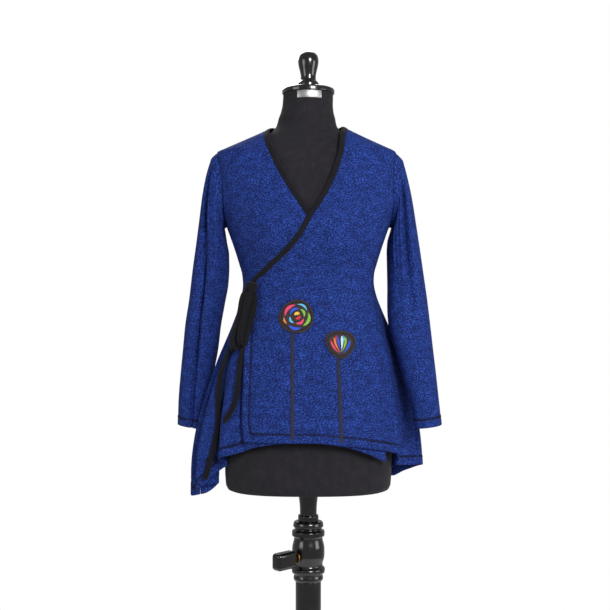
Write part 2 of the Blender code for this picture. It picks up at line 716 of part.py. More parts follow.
class BackPanel:
    """The back: columns run round from the wearer's left side to the right, rows down."""

    def __init__(self):
        left_hem, right_hem = over_hem_at(90.0), hem_at(-90.0)
        rows = range(PANEL_ROWS + 1)
        self.left = [side_edge(row, 1.0, False, left_hem) for row in rows]
        right = [side_edge(row, -1.0, False, right_hem) for row in rows]
        self.right = [(angle + 2 * math.pi, z) for angle, z in right]

    def neck_edge(self, share, width):
        """Angle and height on the back neck, moved down the panel by a width."""
        start = math.pi / 2 + seam_turn(NECK_POINT_Z)
        angle = start + (2 * math.pi - 2 * start) * share
        z = NECK_POINT_Z + BACK_NECK_RISE * math.sin(math.pi * share) ** 2
        top = surface_point(angle, z)
        low, high = 0.0, 2 * BAND_WIDTH
        for _ in range(30):
            middle = (low + high) / 2
            if (surface_point(angle, z - middle) - top).length < width:
                low = middle
            else:
                high = middle
        return angle, z - (low if width else 0.0)

    def top(self, number):
        """Angle and height of the top edge's columns: shoulder, neck, shoulder."""
        shoulder = (BACK_COLUMNS - NECK_COLUMNS) // 2
        if shoulder <= number <= BACK_COLUMNS - shoulder:
            return self.neck_edge((number - shoulder) / NECK_COLUMNS, BAND_WIDTH + SEAM_GAP)
        if number < shoulder:
            tip, corner, share = self.left[0], self.neck_edge(0.0, BAND_WIDTH + SEAM_GAP), number / shoulder
        else:
            tip, corner = self.right[0], self.neck_edge(1.0, BAND_WIDTH + SEAM_GAP)
            share = (BACK_COLUMNS - number) / shoulder
        z = tip[1] + (corner[1] - tip[1]) * share
        return tip[0] + (corner[0] - tip[0]) * share, z

    def place(self, number, row):
        """Angle and height at a column and row."""
        share = number / BACK_COLUMNS
        dense = share - 0.55 * math.sin(2 * math.pi * share) / (2 * math.pi)
        down = row / PANEL_ROWS
        left, right, top = self.left[row], self.right[row], self.top(number)
        foot_angle = self.left[-1][0] + (self.right[-1][0] - self.left[-1][0]) * dense
        foot_turn = math.degrees(foot_angle)
        foot_z = hem_at(foot_turn if foot_turn <= 180.0 else foot_turn - 360.0)
        fade = (1.0 - down) ** 2
        angle = left[0] + (right[0] - left[0]) * dense
        z = left[1] + (right[1] - left[1]) * dense
        top_line = self.left[0][0] + (self.right[0][0] - self.left[0][0]) * dense
        top_z = self.left[0][1] + (self.right[0][1] - self.left[0][1]) * dense
        foot_line = self.left[-1][1] + (self.right[-1][1] - self.left[-1][1]) * dense
        angle += fade * (top[0] - top_line)
        z += fade * (top[1] - top_z) + down ** 3 * (foot_z - foot_line)
        return angle, z

    def wall(self, name, finish):
        """The panel itself."""
        columns = range(BACK_COLUMNS, -1, -1)
        rows = range(PANEL_ROWS + 1)
        places = [[self.place(number, row) for number in columns] for row in rows]
        outside = [[cloth_point(angle, z) for angle, z in line] for line in places]
        inside = [[cloth_point(angle, z, -WALL) for angle, z in line] for line in places]
        return wall_object(name, outside, inside, finish)

    def band(self, name, finish):
        """The binding of the back neck."""
        outside, inside = [], []
        heights = ((0.0, BAND_STEP * 0.4), (0.5, BAND_STEP * 2), (1.0, BAND_STEP * 0.4))
        for number in range(NECK_COLUMNS + 1):
            share = number / NECK_COLUMNS
            places = [self.neck_edge(share, BAND_WIDTH * part) for part, _ in heights]
            lifts = [height for _, height in heights]
            outside.append([cloth_point(angle, z, lift) for (angle, z), lift in zip(places, lifts)])
            inside.append([cloth_point(angle, z, -WALL) for angle, z in places])
        return wall_object(name, outside, inside, finish)


def new_object(name, bm, finish, smooth=True):
    """Makes a finished object of a mesh being built."""
    bmesh.ops.recalc_face_normals(bm, faces=bm.faces)
    bent = [face for face in bm.faces if len(face.verts) == 4]
    bmesh.ops.triangulate(bm, faces=bent, quad_method="BEAUTY")
    mesh = bpy.data.meshes.new(name)
    bm.to_mesh(mesh)
    bm.free()
    if smooth:
        mesh.shade_smooth()
        mesh.set_sharp_from_angle(angle=math.radians(35.0))
    mesh.materials.append(material(finish))
    made = bpy.data.objects.new(name, mesh)
    bpy.context.scene.collection.objects.link(made)
    return made


def material(finish):
    """The material of a finish, made once."""
    known = bpy.data.materials.get(finish)
    if known:
        return known
    made = bpy.data.materials.new(finish)
    made.use_nodes = True
    shader = made.node_tree.nodes["Principled BSDF"]
    values = FINISHES[finish]
    shader.inputs["Base Color"].default_value = (*values.colour, 1.0)
    shader.inputs["Roughness"].default_value = values.roughness
    shader.inputs["Metallic"].default_value = values.metallic
    return made


def wall_object(name, outside, inside, finish, closed=False):
    """A cloth wall between two grids of points, closed into a tube across its columns if asked."""
    bm = bmesh.new()
    sheets = [[[bm.verts.new(point) for point in line] for line in grid] for grid in (outside, inside)]
    outer, inner = sheets
    rows, columns = len(outer), len(outer[0])
    spans = columns if closed else columns - 1
    for i in range(rows - 1):
        for j in range(spans):
            k = (j + 1) % columns
            bm.faces.new((outer[i][j], outer[i][k], outer[i + 1][k], outer[i + 1][j]))
            bm.faces.new((inner[i][j], inner[i + 1][j], inner[i + 1][k], inner[i][k]))
    for j in range(spans):
        k = (j + 1) % columns
        bm.faces.new((outer[0][j], inner[0][j], inner[0][k], outer[0][k]))
        bm.faces.new((outer[-1][j], outer[-1][k], inner[-1][k], inner[-1][j]))
    if not closed:
        for i in range(rows - 1):
            bm.faces.new((outer[i][0], outer[i + 1][0], inner[i + 1][0], inner[i][0]))
            bm.faces.new((outer[i][-1], inner[i][-1], inner[i + 1][-1], outer[i + 1][-1]))
    return new_object(name, bm, finish)


def ring_object(name, rings, finish):
    """A closed solid through rings of points, with flat ends."""
    bm = bmesh.new()
    made = [[bm.verts.new(point) for point in ring] for ring in rings]
    count = len(made[0])
    for lower, upper in zip(made, made[1:]):
        for j in range(count):
            k = (j + 1) % count
            bm.faces.new((lower[j], lower[k], upper[k], upper[j]))
    bm.faces.new(made[0][::-1])
    bm.faces.new(made[-1])
    return new_object(name, bm, finish)


def turned(name, profile, finish, sides=TURNED_SIDES):
    """A piece turned about the pole's axis; its profile is a closed or axis-to-axis line of (radius, z)."""
    bm = bmesh.new()
    verts = [bm.verts.new((radius, 0.0, z)) for radius, z in profile]
    edges = [bm.edges.new(pair) for pair in zip(verts, verts[1:])]
    if profile[0][0] > 0 and profile[-1][0] > 0:
        edges.append(bm.edges.new((verts[-1], verts[0])))
    bmesh.ops.spin(bm, geom=verts + edges, cent=(0, 0, 0), axis=(0, 0, 1), angle=2 * math.pi, steps=sides,
                   use_merge=True)
    bmesh.ops.remove_doubles(bm, verts=bm.verts, dist=1e-6)
    return new_object(name, bm, finish)


def sleeve(name, table, folds, side, finish):
    """A set-in sleeve: its first ring is the armhole, the rest follow the table."""
    count = len(table)
    outer_x = Curve(range(1, count + 1), column(table, "outer_x"))
    outer_z = Curve(range(1, count + 1), column(table, "outer_z"))
    inner_x = Curve(range(1, count + 1), column(table, "inner_x"))
    inner_z = Curve(range(1, count + 1), column(table, "inner_z"))
    middle_y = Curve(range(1, count + 1), column(table, "middle_y"))
    half_depth = Curve(range(1, count + 1), column(table, "half_depth"))
    steps = [1.0 + i * (count - 1) / SLEEVE_ROWS for i in range(SLEEVE_ROWS + 1)]

    def section(step, turn, out):
        """A point of the sleeve at a step down the table and a turn round it."""
        outer = Vector((outer_x(step), middle_y(step), outer_z(step)))
        inner = Vector((inner_x(step), middle_y(step), inner_z(step)))
        centre, reach = (outer + inner) / 2, (outer - inner) / 2
        depth = half_depth(step)
        share = (step - 1.0) / (count - 1)
        for fold in folds:
            if fold.start < share < fold.end:
                along = math.sin(math.pi * (share - fold.start) / (fold.end - fold.start)) ** 0.6
                away = turn_between(turn, fold.angle) / fold.half_angle
                out -= fold.depth * along * math.exp(-away * away)
        squareness = 2.0 / 2.3
        cosine, sine = math.cos(turn), math.sin(turn)
        rim = Vector((0.0, -1.0, 0.0)) * math.copysign(abs(sine) ** squareness, sine) * (depth + out)
        arm = reach * (1.0 + out / reach.length) * math.copysign(abs(cosine) ** squareness, cosine)
        return centre + arm + rim

    outside, inside = [], []
    for grid, out in ((outside, 0.0), (inside, -WALL)):
        first = []
        for j in range(SLEEVE_SIDES):
            turn = 2 * math.pi * j / SLEEVE_SIDES
            under = (1.0 - math.cos(turn)) / 2
            angle, z = armhole(turn, side, out * under)
            first.append(cloth_point(angle, z, out * (1.0 - under) + UNDERARM_STEP * under))
        grid.append(first)
        for step in steps:
            grid.append([section(step, 2 * math.pi * j / SLEEVE_SIDES, out) for j in range(SLEEVE_SIDES)])
    return wall_object(name, outside, inside, finish, closed=True)


def torso(name, finish):
    """The form's body and neck, just inside the cloth at the shoulders and chest."""
    def ring(z, scale=1.0):
        points = []
        for j in range(TORSO_SIDES):
            angle = 2 * math.pi * j / TORSO_SIDES
            room = WALL + ease_at(z) + front_ease_at(z) * max(0.0, math.cos(angle))
            point = cloth_point(angle, z, -room, folded=False)
            points.append(Vector((point.x * scale, point.y * scale, point.z)))
        return points

    rings = []
    for z, scale in TORSO_FOOT:
        low = ring(z, scale)
        rings.append([Vector((point.x, point.y, z)) for point in low])
    rings += [ring(z) for z in TORSO_HEIGHTS]
    turns = [2 * math.pi * j / TORSO_SIDES for j in range(TORSO_SIDES)]
    for neck in NECK_RINGS:
        shift = lean_at(neck.z)
        rings.append([Vector((neck.half_width * math.sin(t) + shift, -neck.half_depth * math.cos(t), neck.z))
                      for t in turns])
    return ring_object(name, rings, finish)


def smooth_route(points, per_step):
    """Points along a smooth curve through a route's own points."""
    line = [Vector(point) for point in points]
    line = [2 * line[0] - line[1]] + line + [2 * line[-1] - line[-2]]
    route = []
    for a, b, c, d in zip(line, line[1:], line[2:], line[3:]):
        for i in range(per_step):
            t = i / per_step
            route.append(0.5 * ((2 * b) + (c - a) * t + (2 * a - 5 * b + 4 * c - d) * t * t
                                + (3 * b - a - 3 * c + d) * t ** 3))
    route.append(line[-2])
    return route


def route_place(point):
    """Where a route's point lies: at its x and z from the front, out of the front that is worn over."""
    out = point.out + LAYER_GAP + WALL
    base = point.x
    for _ in range(12):
        angle = angle_at(base, point.z)
        place = cloth_point(angle, point.z, out)
        base += 0.6 * (point.x - place.x)
    normal = surface_normal(angle, point.z)
    return place, Vector((normal.x, normal.y, 0.0)).normalized()


def strip(name, points, finish, both_ends=False):
    """A soft flat strip along a route, gathered where it leaves the knot."""
    places = [route_place(point) for point in points]
    route = smooth_route([place for place, _ in places], 2)
    facing = smooth_route([(normal + TIE_FACE).normalized() for _, normal in places], 2)
    length = [0.0]
    for start, end in zip(route, route[1:]):
        length.append(length[-1] + (end - start).length)
    section = ((1.0, 0.0), (0.72, 1.0), (-0.72, 1.0), (-1.0, 0.0), (-0.72, -1.0), (0.72, -1.0))
    rings = []
    for i, place in enumerate(route):
        ahead = (route[min(i + 1, len(route) - 1)] - route[max(i - 1, 0)]).normalized()
        side = Vector((-facing[i].y, facing[i].x, 0.0))
        side = (side - ahead * side.dot(ahead)).normalized()
        face = ahead.cross(side).normalized()
        reach = length[i] if not both_ends else min(length[i], length[-1] - length[i])
        share = min(reach / TIE_TAPER, 1.0)
        half = (TIE_KNOT_WIDTH + (TIE_WIDTH - TIE_KNOT_WIDTH) * share) / 2
        rings.append([place + side * half * a + face * TIE_THICKNESS / 2 * b for a, b in section])
    return ring_object(name, rings, finish)


def knot(name, finish):
    """The tie's knot: a soft lump, wider than deep."""
    bm = bmesh.new()
    bmesh.ops.create_uvsphere(bm, u_segments=12, v_segments=8, radius=1.0)
    for vert in bm.verts:
        vert.co = Vector([math.copysign(abs(part) ** 0.75, part) for part in vert.co])
    place, _ = route_place(KNOT)
    turn = Matrix.Rotation(math.atan2(TIE_FACE.x, -TIE_FACE.y), 4, "Z")
    bm.transform(Matrix.Translation(place) @ turn @ Matrix.Diagonal((*KNOT_HALF, 1.0)))
    return new_object(name, bm, finish)


def round_outline(turn):
    """The round flower's edge as shares of its half size."""
    reach = 1.0 + 0.018 * math.sin(3 * turn + 0.6)
    return reach * math.sin(turn), reach * math.cos(turn)


def tulip_outline(turn):
    """The tulip flower's edge: broad above, drawn to a point below."""
    across = math.sin(turn) * (1.0 + 0.34 * math.cos(turn)) / 1.06
    return across, math.copysign(abs(math.cos(turn)) ** 0.92, math.cos(turn))


class Applique:
    """A flower laid on a front, made from the front's own points moved out."""

    def __init__(self, panel, flower, outline, half_width, half_height):
        self.panel = panel
        self.outline = outline
        self.half = (half_width, half_height)
        self.angle, self.z = angle_at(flower.x, flower.z), flower.z
        step = 0.01
        here = surface_point(self.angle, self.z)
        self.per_turn = (surface_point(self.angle + step, self.z) - here).length / step
        self.per_rise = (surface_point(self.angle, self.z + step) - here).length / step

    def point(self, across, up, out):
        """A point some way across and up from the flower's centre."""
        angle, z = self.angle + across / self.per_turn, self.z + up / self.per_rise
        return cloth_point(angle, z, out + self.panel.lift(angle))

    def ring(self, inset, share, out):
        """A ring of points inside the outline."""
        points = []
        for i in range(FLOWER_SIDES):
            across, up = self.outline(2 * math.pi * i / FLOWER_SIDES)
            points.append(self.point(across * (self.half[0] - inset) * share, up * (self.half[1] - inset) * share, out))
        return points

    def patch(self, name, finish):
        """The flower's padded middle."""
        inset = RIM_WIDTH + SEAM_GAP
        low, high = APPLIQUE_SEAT, APPLIQUE_SEAT + PATCH_HEIGHT
        rings = [self.ring(inset, 0.30, low), self.ring(inset, 1.0, low), self.ring(inset, 1.0, high * 0.8),
                 self.ring(inset, 0.80, high), self.ring(inset, 0.30, high)]
        return ring_object(name, rings, finish)

    def rim(self, name, finish):
        """The raised cord of stitching round the flower."""
        low, high = APPLIQUE_SEAT, APPLIQUE_SEAT + RIM_HEIGHT
        sides = ((RIM_WIDTH, low), (RIM_WIDTH, high * 0.7), (RIM_WIDTH / 2, high), (0.0, high * 0.7), (0.0, low))
        grid = [self.ring(inset, 1.0, out) for inset, out in sides]
        return loop_object(name, grid, finish)


def loop_object(name, grid, finish):
    """A closed ring whose section is given by rows of points round it."""
    bm = bmesh.new()
    rows = [[bm.verts.new(point) for point in line] for line in grid]
    for i in range(len(rows)):
        here, after = rows[i], rows[(i + 1) % len(rows)]
        for j in range(len(here)):
            k = (j + 1) % len(here)
            bm.faces.new((here[j], here[k], after[k], after[j]))
    return new_object(name, bm, finish)


def stem(name, panel, top, bottom, finish):
    """A stitched stem from a flower down to the hem."""
    outside, inside = [], []
    for i in range(STEM_ROWS + 1):
        share = i / STEM_ROWS
        x, z = top[0] + (bottom[0] - top[0]) * share, top[1] + (bottom[1] - top[1]) * share
        angle = angle_at(x, z)
        half = STEM_WIDTH / 2 / (surface_point(angle, z).xy.length)
        turns = (angle - half, angle + half)
        outside.append([cloth_point(turn, z, APPLIQUE_SEAT + STEM_HEIGHT + panel.lift(turn)) for turn in turns])
        inside.append([cloth_point(turn, z, APPLIQUE_SEAT + panel.lift(turn)) for turn in turns])
    return wall_object(name, outside, inside, finish)


def neck_plate(name, finish):
    """The bare metal plate bent round the front of the neck."""
    half_turn = PLATE_WIDTH / 2 / NECK_RADIUS
    outside, inside = [], []
    for z in (PLATE_BOTTOM_Z, PLATE_TOP_Z):
        for grid, radius in ((outside, NECK_RADIUS + PLATE_SEAT + PLATE_THICKNESS), (inside, NECK_RADIUS + PLATE_SEAT)):
            line = []
            for i in range(PLATE_COLUMNS + 1):
                turn = half_turn * (2 * i / PLATE_COLUMNS - 1) + PLATE_SHIFT / NECK_RADIUS
                line.append(Vector((radius * math.sin(turn) + lean_at(z), -radius * math.cos(turn), z)))
            grid.append(line)
    return wall_object(name, outside, inside, finish)


def clamp_knob(name, finish):
    """The knob, with its origin on the screw's axis."""
    rings = []
    for ring in KNOB_RINGS:
        points = []
        for i in range(KNOB_SIDES):
            turn = 2 * math.pi * i / KNOB_SIDES
            power = 2.0 / KNOB_ROUNDNESS if ring.half_height > ring.half_depth else 1.0
            across = math.copysign(abs(math.cos(turn)) ** power, math.cos(turn)) * ring.half_depth
            up = math.copysign(abs(math.sin(turn)) ** power, math.sin(turn)) * ring.half_height
            points.append(Vector((ring.along, across, up)))
        rings.append(points)
    made = ring_object(name, rings, finish)
    made.matrix_world = Matrix.Translation((0.0, 0.0, KNOB_Z)) @ Matrix.Rotation(KNOB_TURN, 4, "Z")
    return made


def clamp_washer(name, finish):
    """The washer between the knob and the pole head."""
    bm = bmesh.new()
    middle = Matrix.Translation((WASHER_START + WASHER_THICKNESS / 2, 0, 0)) @ Matrix.Rotation(math.pi / 2, 4, "Y")
    bmesh.ops.create_cone(bm, cap_ends=True, segments=TURNED_SIDES, radius1=WASHER_RADIUS, radius2=WASHER_RADIUS,
                          depth=WASHER_THICKNESS, matrix=middle)
    made = new_object(name, bm, finish)
    made.matrix_world = Matrix.Translation((0.0, 0.0, KNOB_Z)) @ Matrix.Rotation(KNOB_TURN, 4, "Z")
    return made


def main():
    """Builds every piece."""
    for thing in list(bpy.data.objects):
        bpy.data.objects.remove(thing)
    over = FrontPanel(1.0, OVER_EDGE, OVER_FREE_EDGE, over_hem_at, FRONT_COLUMNS)
    under = FrontPanel(-1.0, UNDER_EDGE, UNDER_FREE_EDGE, hem_at, UNDER_COLUMNS)
    back = BackPanel()
    over.wall("front_left", "knit")
    under.wall("front_right", "knit")
    back.wall("back", "knit")
    over.band("binding_left", "binding")
    under.band("binding_right", "binding")
    back.band("binding_back", "binding")
    sleeve("sleeve_right", RIGHT_SLEEVE, RIGHT_SLEEVE_FOLDS, -1.0, "knit")
    sleeve("sleeve_left", LEFT_SLEEVE, LEFT_SLEEVE_FOLDS, 1.0, "knit")
    knot("tie_knot", "binding")
    strip("tie_loop_outer", OUTER_LOOP, "binding", both_ends=True)
    strip("tie_loop_inner", INNER_LOOP, "binding", both_ends=True)
    strip("tie_end_long", LONG_TAIL, "binding")
    strip("tie_end_short", SHORT_TAIL, "binding")
    flower = Applique(over, ROUND_FLOWER, round_outline, ROUND_RADIUS, ROUND_RADIUS)
    flower.patch("flower_round", "applique")
    flower.rim("flower_round_rim", "stitching")
    flower = Applique(over, TULIP_FLOWER, tulip_outline, TULIP_HALF_WIDTH, TULIP_HALF_HEIGHT)
    flower.patch("flower_tulip", "applique")
    flower.rim("flower_tulip_rim", "stitching")
    stem("stem_round", over, ROUND_STEM[0], ROUND_STEM[1], "stitching")
    stem("stem_tulip", over, TULIP_STEM[0], TULIP_STEM[1], "stitching")
    torso("form_torso", "form_jersey")
    turned("neck_cap", NECK_CAP, "black_gloss")
    turned("finial", FINIAL, "black_gloss")
    neck_plate("neck_plate", "steel")
    turned("ferrule", FERRULE, "black_gloss")
    turned("mast", MAST, "steel")
    turned("pole_head", POLE_HEAD, "black_gloss")
    turned("lower_pole", LOWER_POLE, "black_gloss")
    turned("base", BASE, "iron", BASE_SIDES)
    clamp_washer("clamp_washer", "brass")
    clamp_knob("clamp_knob", "black_gloss")


main()
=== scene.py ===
"""The looks of a blue knit wrap cardigan on a limbless dress form with a turned stand.

Metres, +Z up, front towards -Y. Angles round the pole are 0 in front and 90 degrees at the wearer's left, +X.
"""

from __future__ import annotations

import logging
import math
from dataclasses import dataclass
from enum import Enum
from typing import Callable, NamedTuple, Sequence, TypeVar

import bmesh
import bpy
import numpy as np
from mathutils import Matrix, Vector

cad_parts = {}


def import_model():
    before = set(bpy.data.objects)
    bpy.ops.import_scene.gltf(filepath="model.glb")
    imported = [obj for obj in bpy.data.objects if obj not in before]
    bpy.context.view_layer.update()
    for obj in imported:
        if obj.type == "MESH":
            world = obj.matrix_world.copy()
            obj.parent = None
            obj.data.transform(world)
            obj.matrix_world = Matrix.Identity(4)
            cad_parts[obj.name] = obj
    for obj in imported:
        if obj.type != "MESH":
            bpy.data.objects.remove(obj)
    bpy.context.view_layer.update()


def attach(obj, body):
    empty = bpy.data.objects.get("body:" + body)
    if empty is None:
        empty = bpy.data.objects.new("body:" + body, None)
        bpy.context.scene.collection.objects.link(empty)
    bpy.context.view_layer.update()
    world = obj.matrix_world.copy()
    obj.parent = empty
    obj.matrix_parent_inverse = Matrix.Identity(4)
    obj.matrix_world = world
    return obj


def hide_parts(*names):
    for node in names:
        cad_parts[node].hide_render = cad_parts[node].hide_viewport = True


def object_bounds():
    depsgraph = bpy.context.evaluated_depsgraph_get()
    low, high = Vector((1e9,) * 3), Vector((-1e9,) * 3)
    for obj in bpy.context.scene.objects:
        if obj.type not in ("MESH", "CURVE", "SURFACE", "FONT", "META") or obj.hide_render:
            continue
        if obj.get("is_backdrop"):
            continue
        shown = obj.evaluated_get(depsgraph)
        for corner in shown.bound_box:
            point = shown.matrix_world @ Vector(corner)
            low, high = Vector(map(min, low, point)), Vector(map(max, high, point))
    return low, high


LOG = logging.getLogger("wrap_cardigan")
Array = np.ndarray
Pair = tuple[float, float]
Triple = tuple[float, float, float]
Line = tuple[Array, Array]
Colour = Triple
Piece = bpy.types.Object
Socket = bpy.types.NodeSocket
Material = bpy.types.Material
Row = TypeVar("Row")

# The cloth's wall, its bindings and hems, and the heights of its seams.
WALL = 0.0018
SEAM_GAP = 0.0003
LAYER_GAP = 0.0022
BAND_WIDTH = 0.012
BAND_SHOWN = 0.0104
BAND_LAST_ROW = 17.7
SHOULDER_TIP_Z = 1.384
ARMPIT_Z = 1.226
NECK_POINT_Z = 1.4375
WAIST_Z = 1.110
HEM_DEPTH = 0.017
UNDERARM_STEP = 0.0006
NECK_TOP_Z = 1.5097
KNOB_Z = 0.5280


class Side(Enum):
    """The wearer's side of a piece."""

    LEFT = 1.0
    RIGHT = -1.0


class Section(NamedTuple):
    """Half sizes of the garment at a height."""

    z: float
    half_width: float
    front: float
    back: float


class Lean(NamedTuple):
    """Sideways shift of the form at a height."""

    z: float
    shift_x: float


class Bust(NamedTuple):
    """A soft swell of the chest."""

    angle: float
    z: float
    swell: float
    half_angle: float
    half_height: float


class Fold(NamedTuple):
    """A fold of the skirt part, which grows from its top down to the hem."""

    angle: float
    half_angle: float
    swell: float
    top_z: float


class Hem(NamedTuple):
    """Height of a hem at an angle."""

    angle: float
    z: float


class EdgePoint(NamedTuple):
    """A point of a free edge as seen from the front."""

    x: float
    z: float


class Cuff(NamedTuple):
    """A section of a sleeve: its outer and inner side from the front, middle in depth and half depth."""

    outer_x: float
    outer_z: float
    inner_x: float
    inner_z: float
    middle_y: float
    half_depth: float


class SleeveFold(NamedTuple):
    """A long soft fold of a sleeve, its angle from the sleeve's outer side over its front."""

    angle: float
    half_angle: float
    depth: float
    start: float
    end: float


class Crease(NamedTuple):
    """A soft ridge (or trough, below 0) of the cloth along a line from one angle and height to another."""

    angle: float
    z: float
    to_angle: float
    to_z: float
    width: float
    height: float


class Ease(NamedTuple):
    """Room between the cloth's inside and the form at a height."""

    z: float
    all_round: float
    in_front: float


class RoutePoint(NamedTuple):
    """A point of a tie as seen from the front, and how far out of the cloth it lies."""

    x: float
    z: float
    out: float


class Turning(NamedTuple):
    """A point of a turned profile."""

    radius: float
    z: float


class NeckRing(NamedTuple):
    """Half sizes of the form's neck at a height."""

    z: float
    half_width: float
    half_depth: float


def table(kind: Callable[..., Row], *rows: tuple) -> tuple[Row, ...]:
    """Rows of plain numbers as records of one kind."""
    return tuple(kind(*row) for row in rows)


def full_turn(count: int) -> Array:
    """Even angles round a full turn, without its end."""
    return np.linspace(0.0, 2 * math.pi, count + 1)[:-1]


# The stand, the flowers with their stems, the tie, the neck plate and the clamp.
BORE_RADIUS = 0.0124
MAST_RADIUS = 0.0120
MAST_BOTTOM_Z = 0.330
MAST_TOP_Z = 0.640
BORE_BOTTOM_Z = 0.318
HEAD_TOP_Z = 0.6009
HEAD_BOTTOM_Z = 0.4746
POLE_RADIUS = 0.027
BASE_RADIUS = 0.170
BASE_TOP_Z = 0.024
CAP_TOP_Z = 1.5225
NECK_RADIUS = 0.053
ROUND_FLOWER = (-0.0233, 1.0373)
ROUND_HALF = (0.0347, 0.0347)
TULIP_FLOWER = (0.0631, 0.9800)
TULIP_HALF = (0.0317, 0.0290)
RIM_WIDTH = 0.0052
RIM_HEIGHT = 0.0024
PATCH_HEIGHT = 0.0016
PATCH_RINGS = ((0.02, 0.0), (0.6, 0.0), (0.995, 0.0), (1.0, 0.4), (1.0, 0.75), (0.97, 0.95), (0.92, 1.0),
               (0.7, 1.02), (0.45, 1.02), (0.2, 1.0), (0.02, 1.0))
APPLIQUE_SEAT = 0.0005
STEM_WIDTH = 0.0068
STEM_HEIGHT = 0.0010
ROUND_STEM = ((-0.0325, 1.0018), (-0.0322, 0.7900))
TULIP_STEM = ((0.0595, 0.9500), (0.0655, 0.7860))
LOOP_WIDTH, END_WIDTH = 0.0174, 0.0124
TIE_KNOT_WIDTH = 0.0095
TIE_TAPER = 0.024
TIE_THICKNESS = 0.0036
TIE_FACE = (-0.49, -0.87, 0.0)
KNOT = RoutePoint(-0.1165, 1.0985, 0.0120)
KNOT_HALF = (0.0142, 0.0085, 0.0098)
BAND_CROWN = 0.0011
TORSO_FOOT = ((0.6700, 0.945), (0.6720, 0.975), (0.6790, 0.994))
PLATE_WIDTH = 0.0520
PLATE_BOTTOM_Z = 1.4936
PLATE_TOP_Z = 1.5090
PLATE_SHIFT = 0.003
PLATE_SEAT = 0.0004
PLATE_THICKNESS = 0.0010
WASHER_START = 0.0349
WASHER_THICKNESS = 0.0030
WASHER_RADIUS = 0.0110
KNOB_TURN = math.radians(225.0)

# The garment, its folds, edges and sleeves, measured from the front, and then the turned profiles.
BODY_SECTIONS = table(Section, (1.46, 0.06, 0.056, 0.056), (1.445, 0.0662, 0.059, 0.0605),
    (1.4375, 0.069, 0.0612, 0.0632), (1.4335, 0.0785, 0.065, 0.067), (1.42, 0.1085, 0.073, 0.076),
    (1.402, 0.1495, 0.084, 0.086), (1.39, 0.177, 0.091, 0.0915), (1.384, 0.1893, 0.0945, 0.094),
    (1.372, 0.1955, 0.099, 0.098), (1.34, 0.198, 0.109, 0.106), (1.3, 0.195, 0.12, 0.112),
    (1.26, 0.184, 0.129, 0.113), (1.226, 0.172, 0.134, 0.109), (1.187, 0.158, 0.131, 0.101),
    (1.15, 0.1463, 0.1185, 0.0915), (1.125, 0.1395, 0.111, 0.0855), (1.105, 0.1378, 0.1078, 0.0842),
    (1.085, 0.14, 0.107, 0.0855), (1.06, 0.146, 0.1085, 0.0888), (1.018, 0.158, 0.114, 0.096),
    (0.939, 0.177, 0.123, 0.109), (0.86, 0.186, 0.13, 0.116), (0.78, 0.189, 0.135, 0.12),
    (0.64, 0.19, 0.139, 0.123))

BODY_LEAN = table(Lean, (0.6, 0), (1.22, -0.001), (1.384, -0.004), (1.44, -0.0035), (1.5, -0.0005))

BUSTS = table(Bust, (-27, 1.222, 0.007, 17, 0.06), (27, 1.222, 0.007, 17, 0.06))

FOLDS = table(Fold, (-93, 6, 0.062, 1.075), (-87.3, 2.4, -0.03, 1.02), (-81, 4.4, 0.048, 1.03),
    (-74, 2.4, -0.018, 1), (-65, 6, 0.02, 1.02), (-112, 7, -0.006, 0.98), (-132, 8, 0.026, 1.02),
    (-156, 7, -0.006, 0.98), (180, 9, 0.018, 1.02), (154, 7, -0.006, 0.98), (133, 7.5, 0.024, 1),
    (114, 6, -0.006, 0.96), (94, 8, 0.057, 1.17), (76.5, 2.4, -0.004, 1.08), (70, 3.2, 0.011, 1.05),
    (30, 12, 0.003, 0.98), (5, 10, -0.002, 0.98), (-35, 11, 0.003, 0.96))

HEM = table(Hem, (-180, 0.765), (-150, 0.752), (-130, 0.722), (-120, 0.724), (-108, 0.716), (-101, 0.71),
    (-97.5, 0.696), (-94.5, 0.664), (-92, 0.654), (-89.5, 0.66), (-87, 0.684), (-84, 0.68), (-80.5, 0.67),
    (-78, 0.69), (-75, 0.722), (-69, 0.741), (-57, 0.757), (-39, 0.7755), (-24, 0.782), (0, 0.786),
    (30, 0.775), (45, 0.761), (60, 0.742), (90, 0.722), (96, 0.717), (101, 0.704), (106, 0.69), (111, 0.7),
    (118, 0.712), (135, 0.736), (155, 0.757), (180, 0.765))

OVER_HEM = table(Hem, (-60, 0.7835), (0, 0.7838), (28, 0.778), (54, 0.766), (69, 0.7545), (74, 0.733),
    (80, 0.726), (90, 0.722))

OVER_EDGE = table(EdgePoint, (0.064, 1.4375), (0.066, 1.42), (0.0647, 1.4065), (0.0619, 1.3819),
    (0.0533, 1.3502), (0.0391, 1.312), (0.0176, 1.2722), (-0.0006, 1.2454), (-0.0203, 1.211),
    (-0.042, 1.183), (-0.0822, 1.145), (-0.11, 1.118))

OVER_FREE_EDGE = table(EdgePoint, (-0.118, 1.09), (-0.1265, 1.02), (-0.13, 0.951), (-0.1335, 0.827),
    (-0.1285, 0.7835))

UNDER_EDGE = table(EdgePoint, (-0.071, 1.4375), (-0.0815, 1.4174), (-0.08, 1.4026), (-0.0724, 1.3829),
    (-0.0574, 1.3489), (-0.0352, 1.3089), (-0.0107, 1.2711), (0.0044, 1.2478), (0.022, 1.215),
    (0.043, 1.184), (0.083, 1.146), (0.109, 1.118))

UNDER_FREE_EDGE = table(EdgePoint, (0.116, 1.09), (0.133, 1), (0.146, 0.9), (0.156, 0.81), (0.159, 0.743))

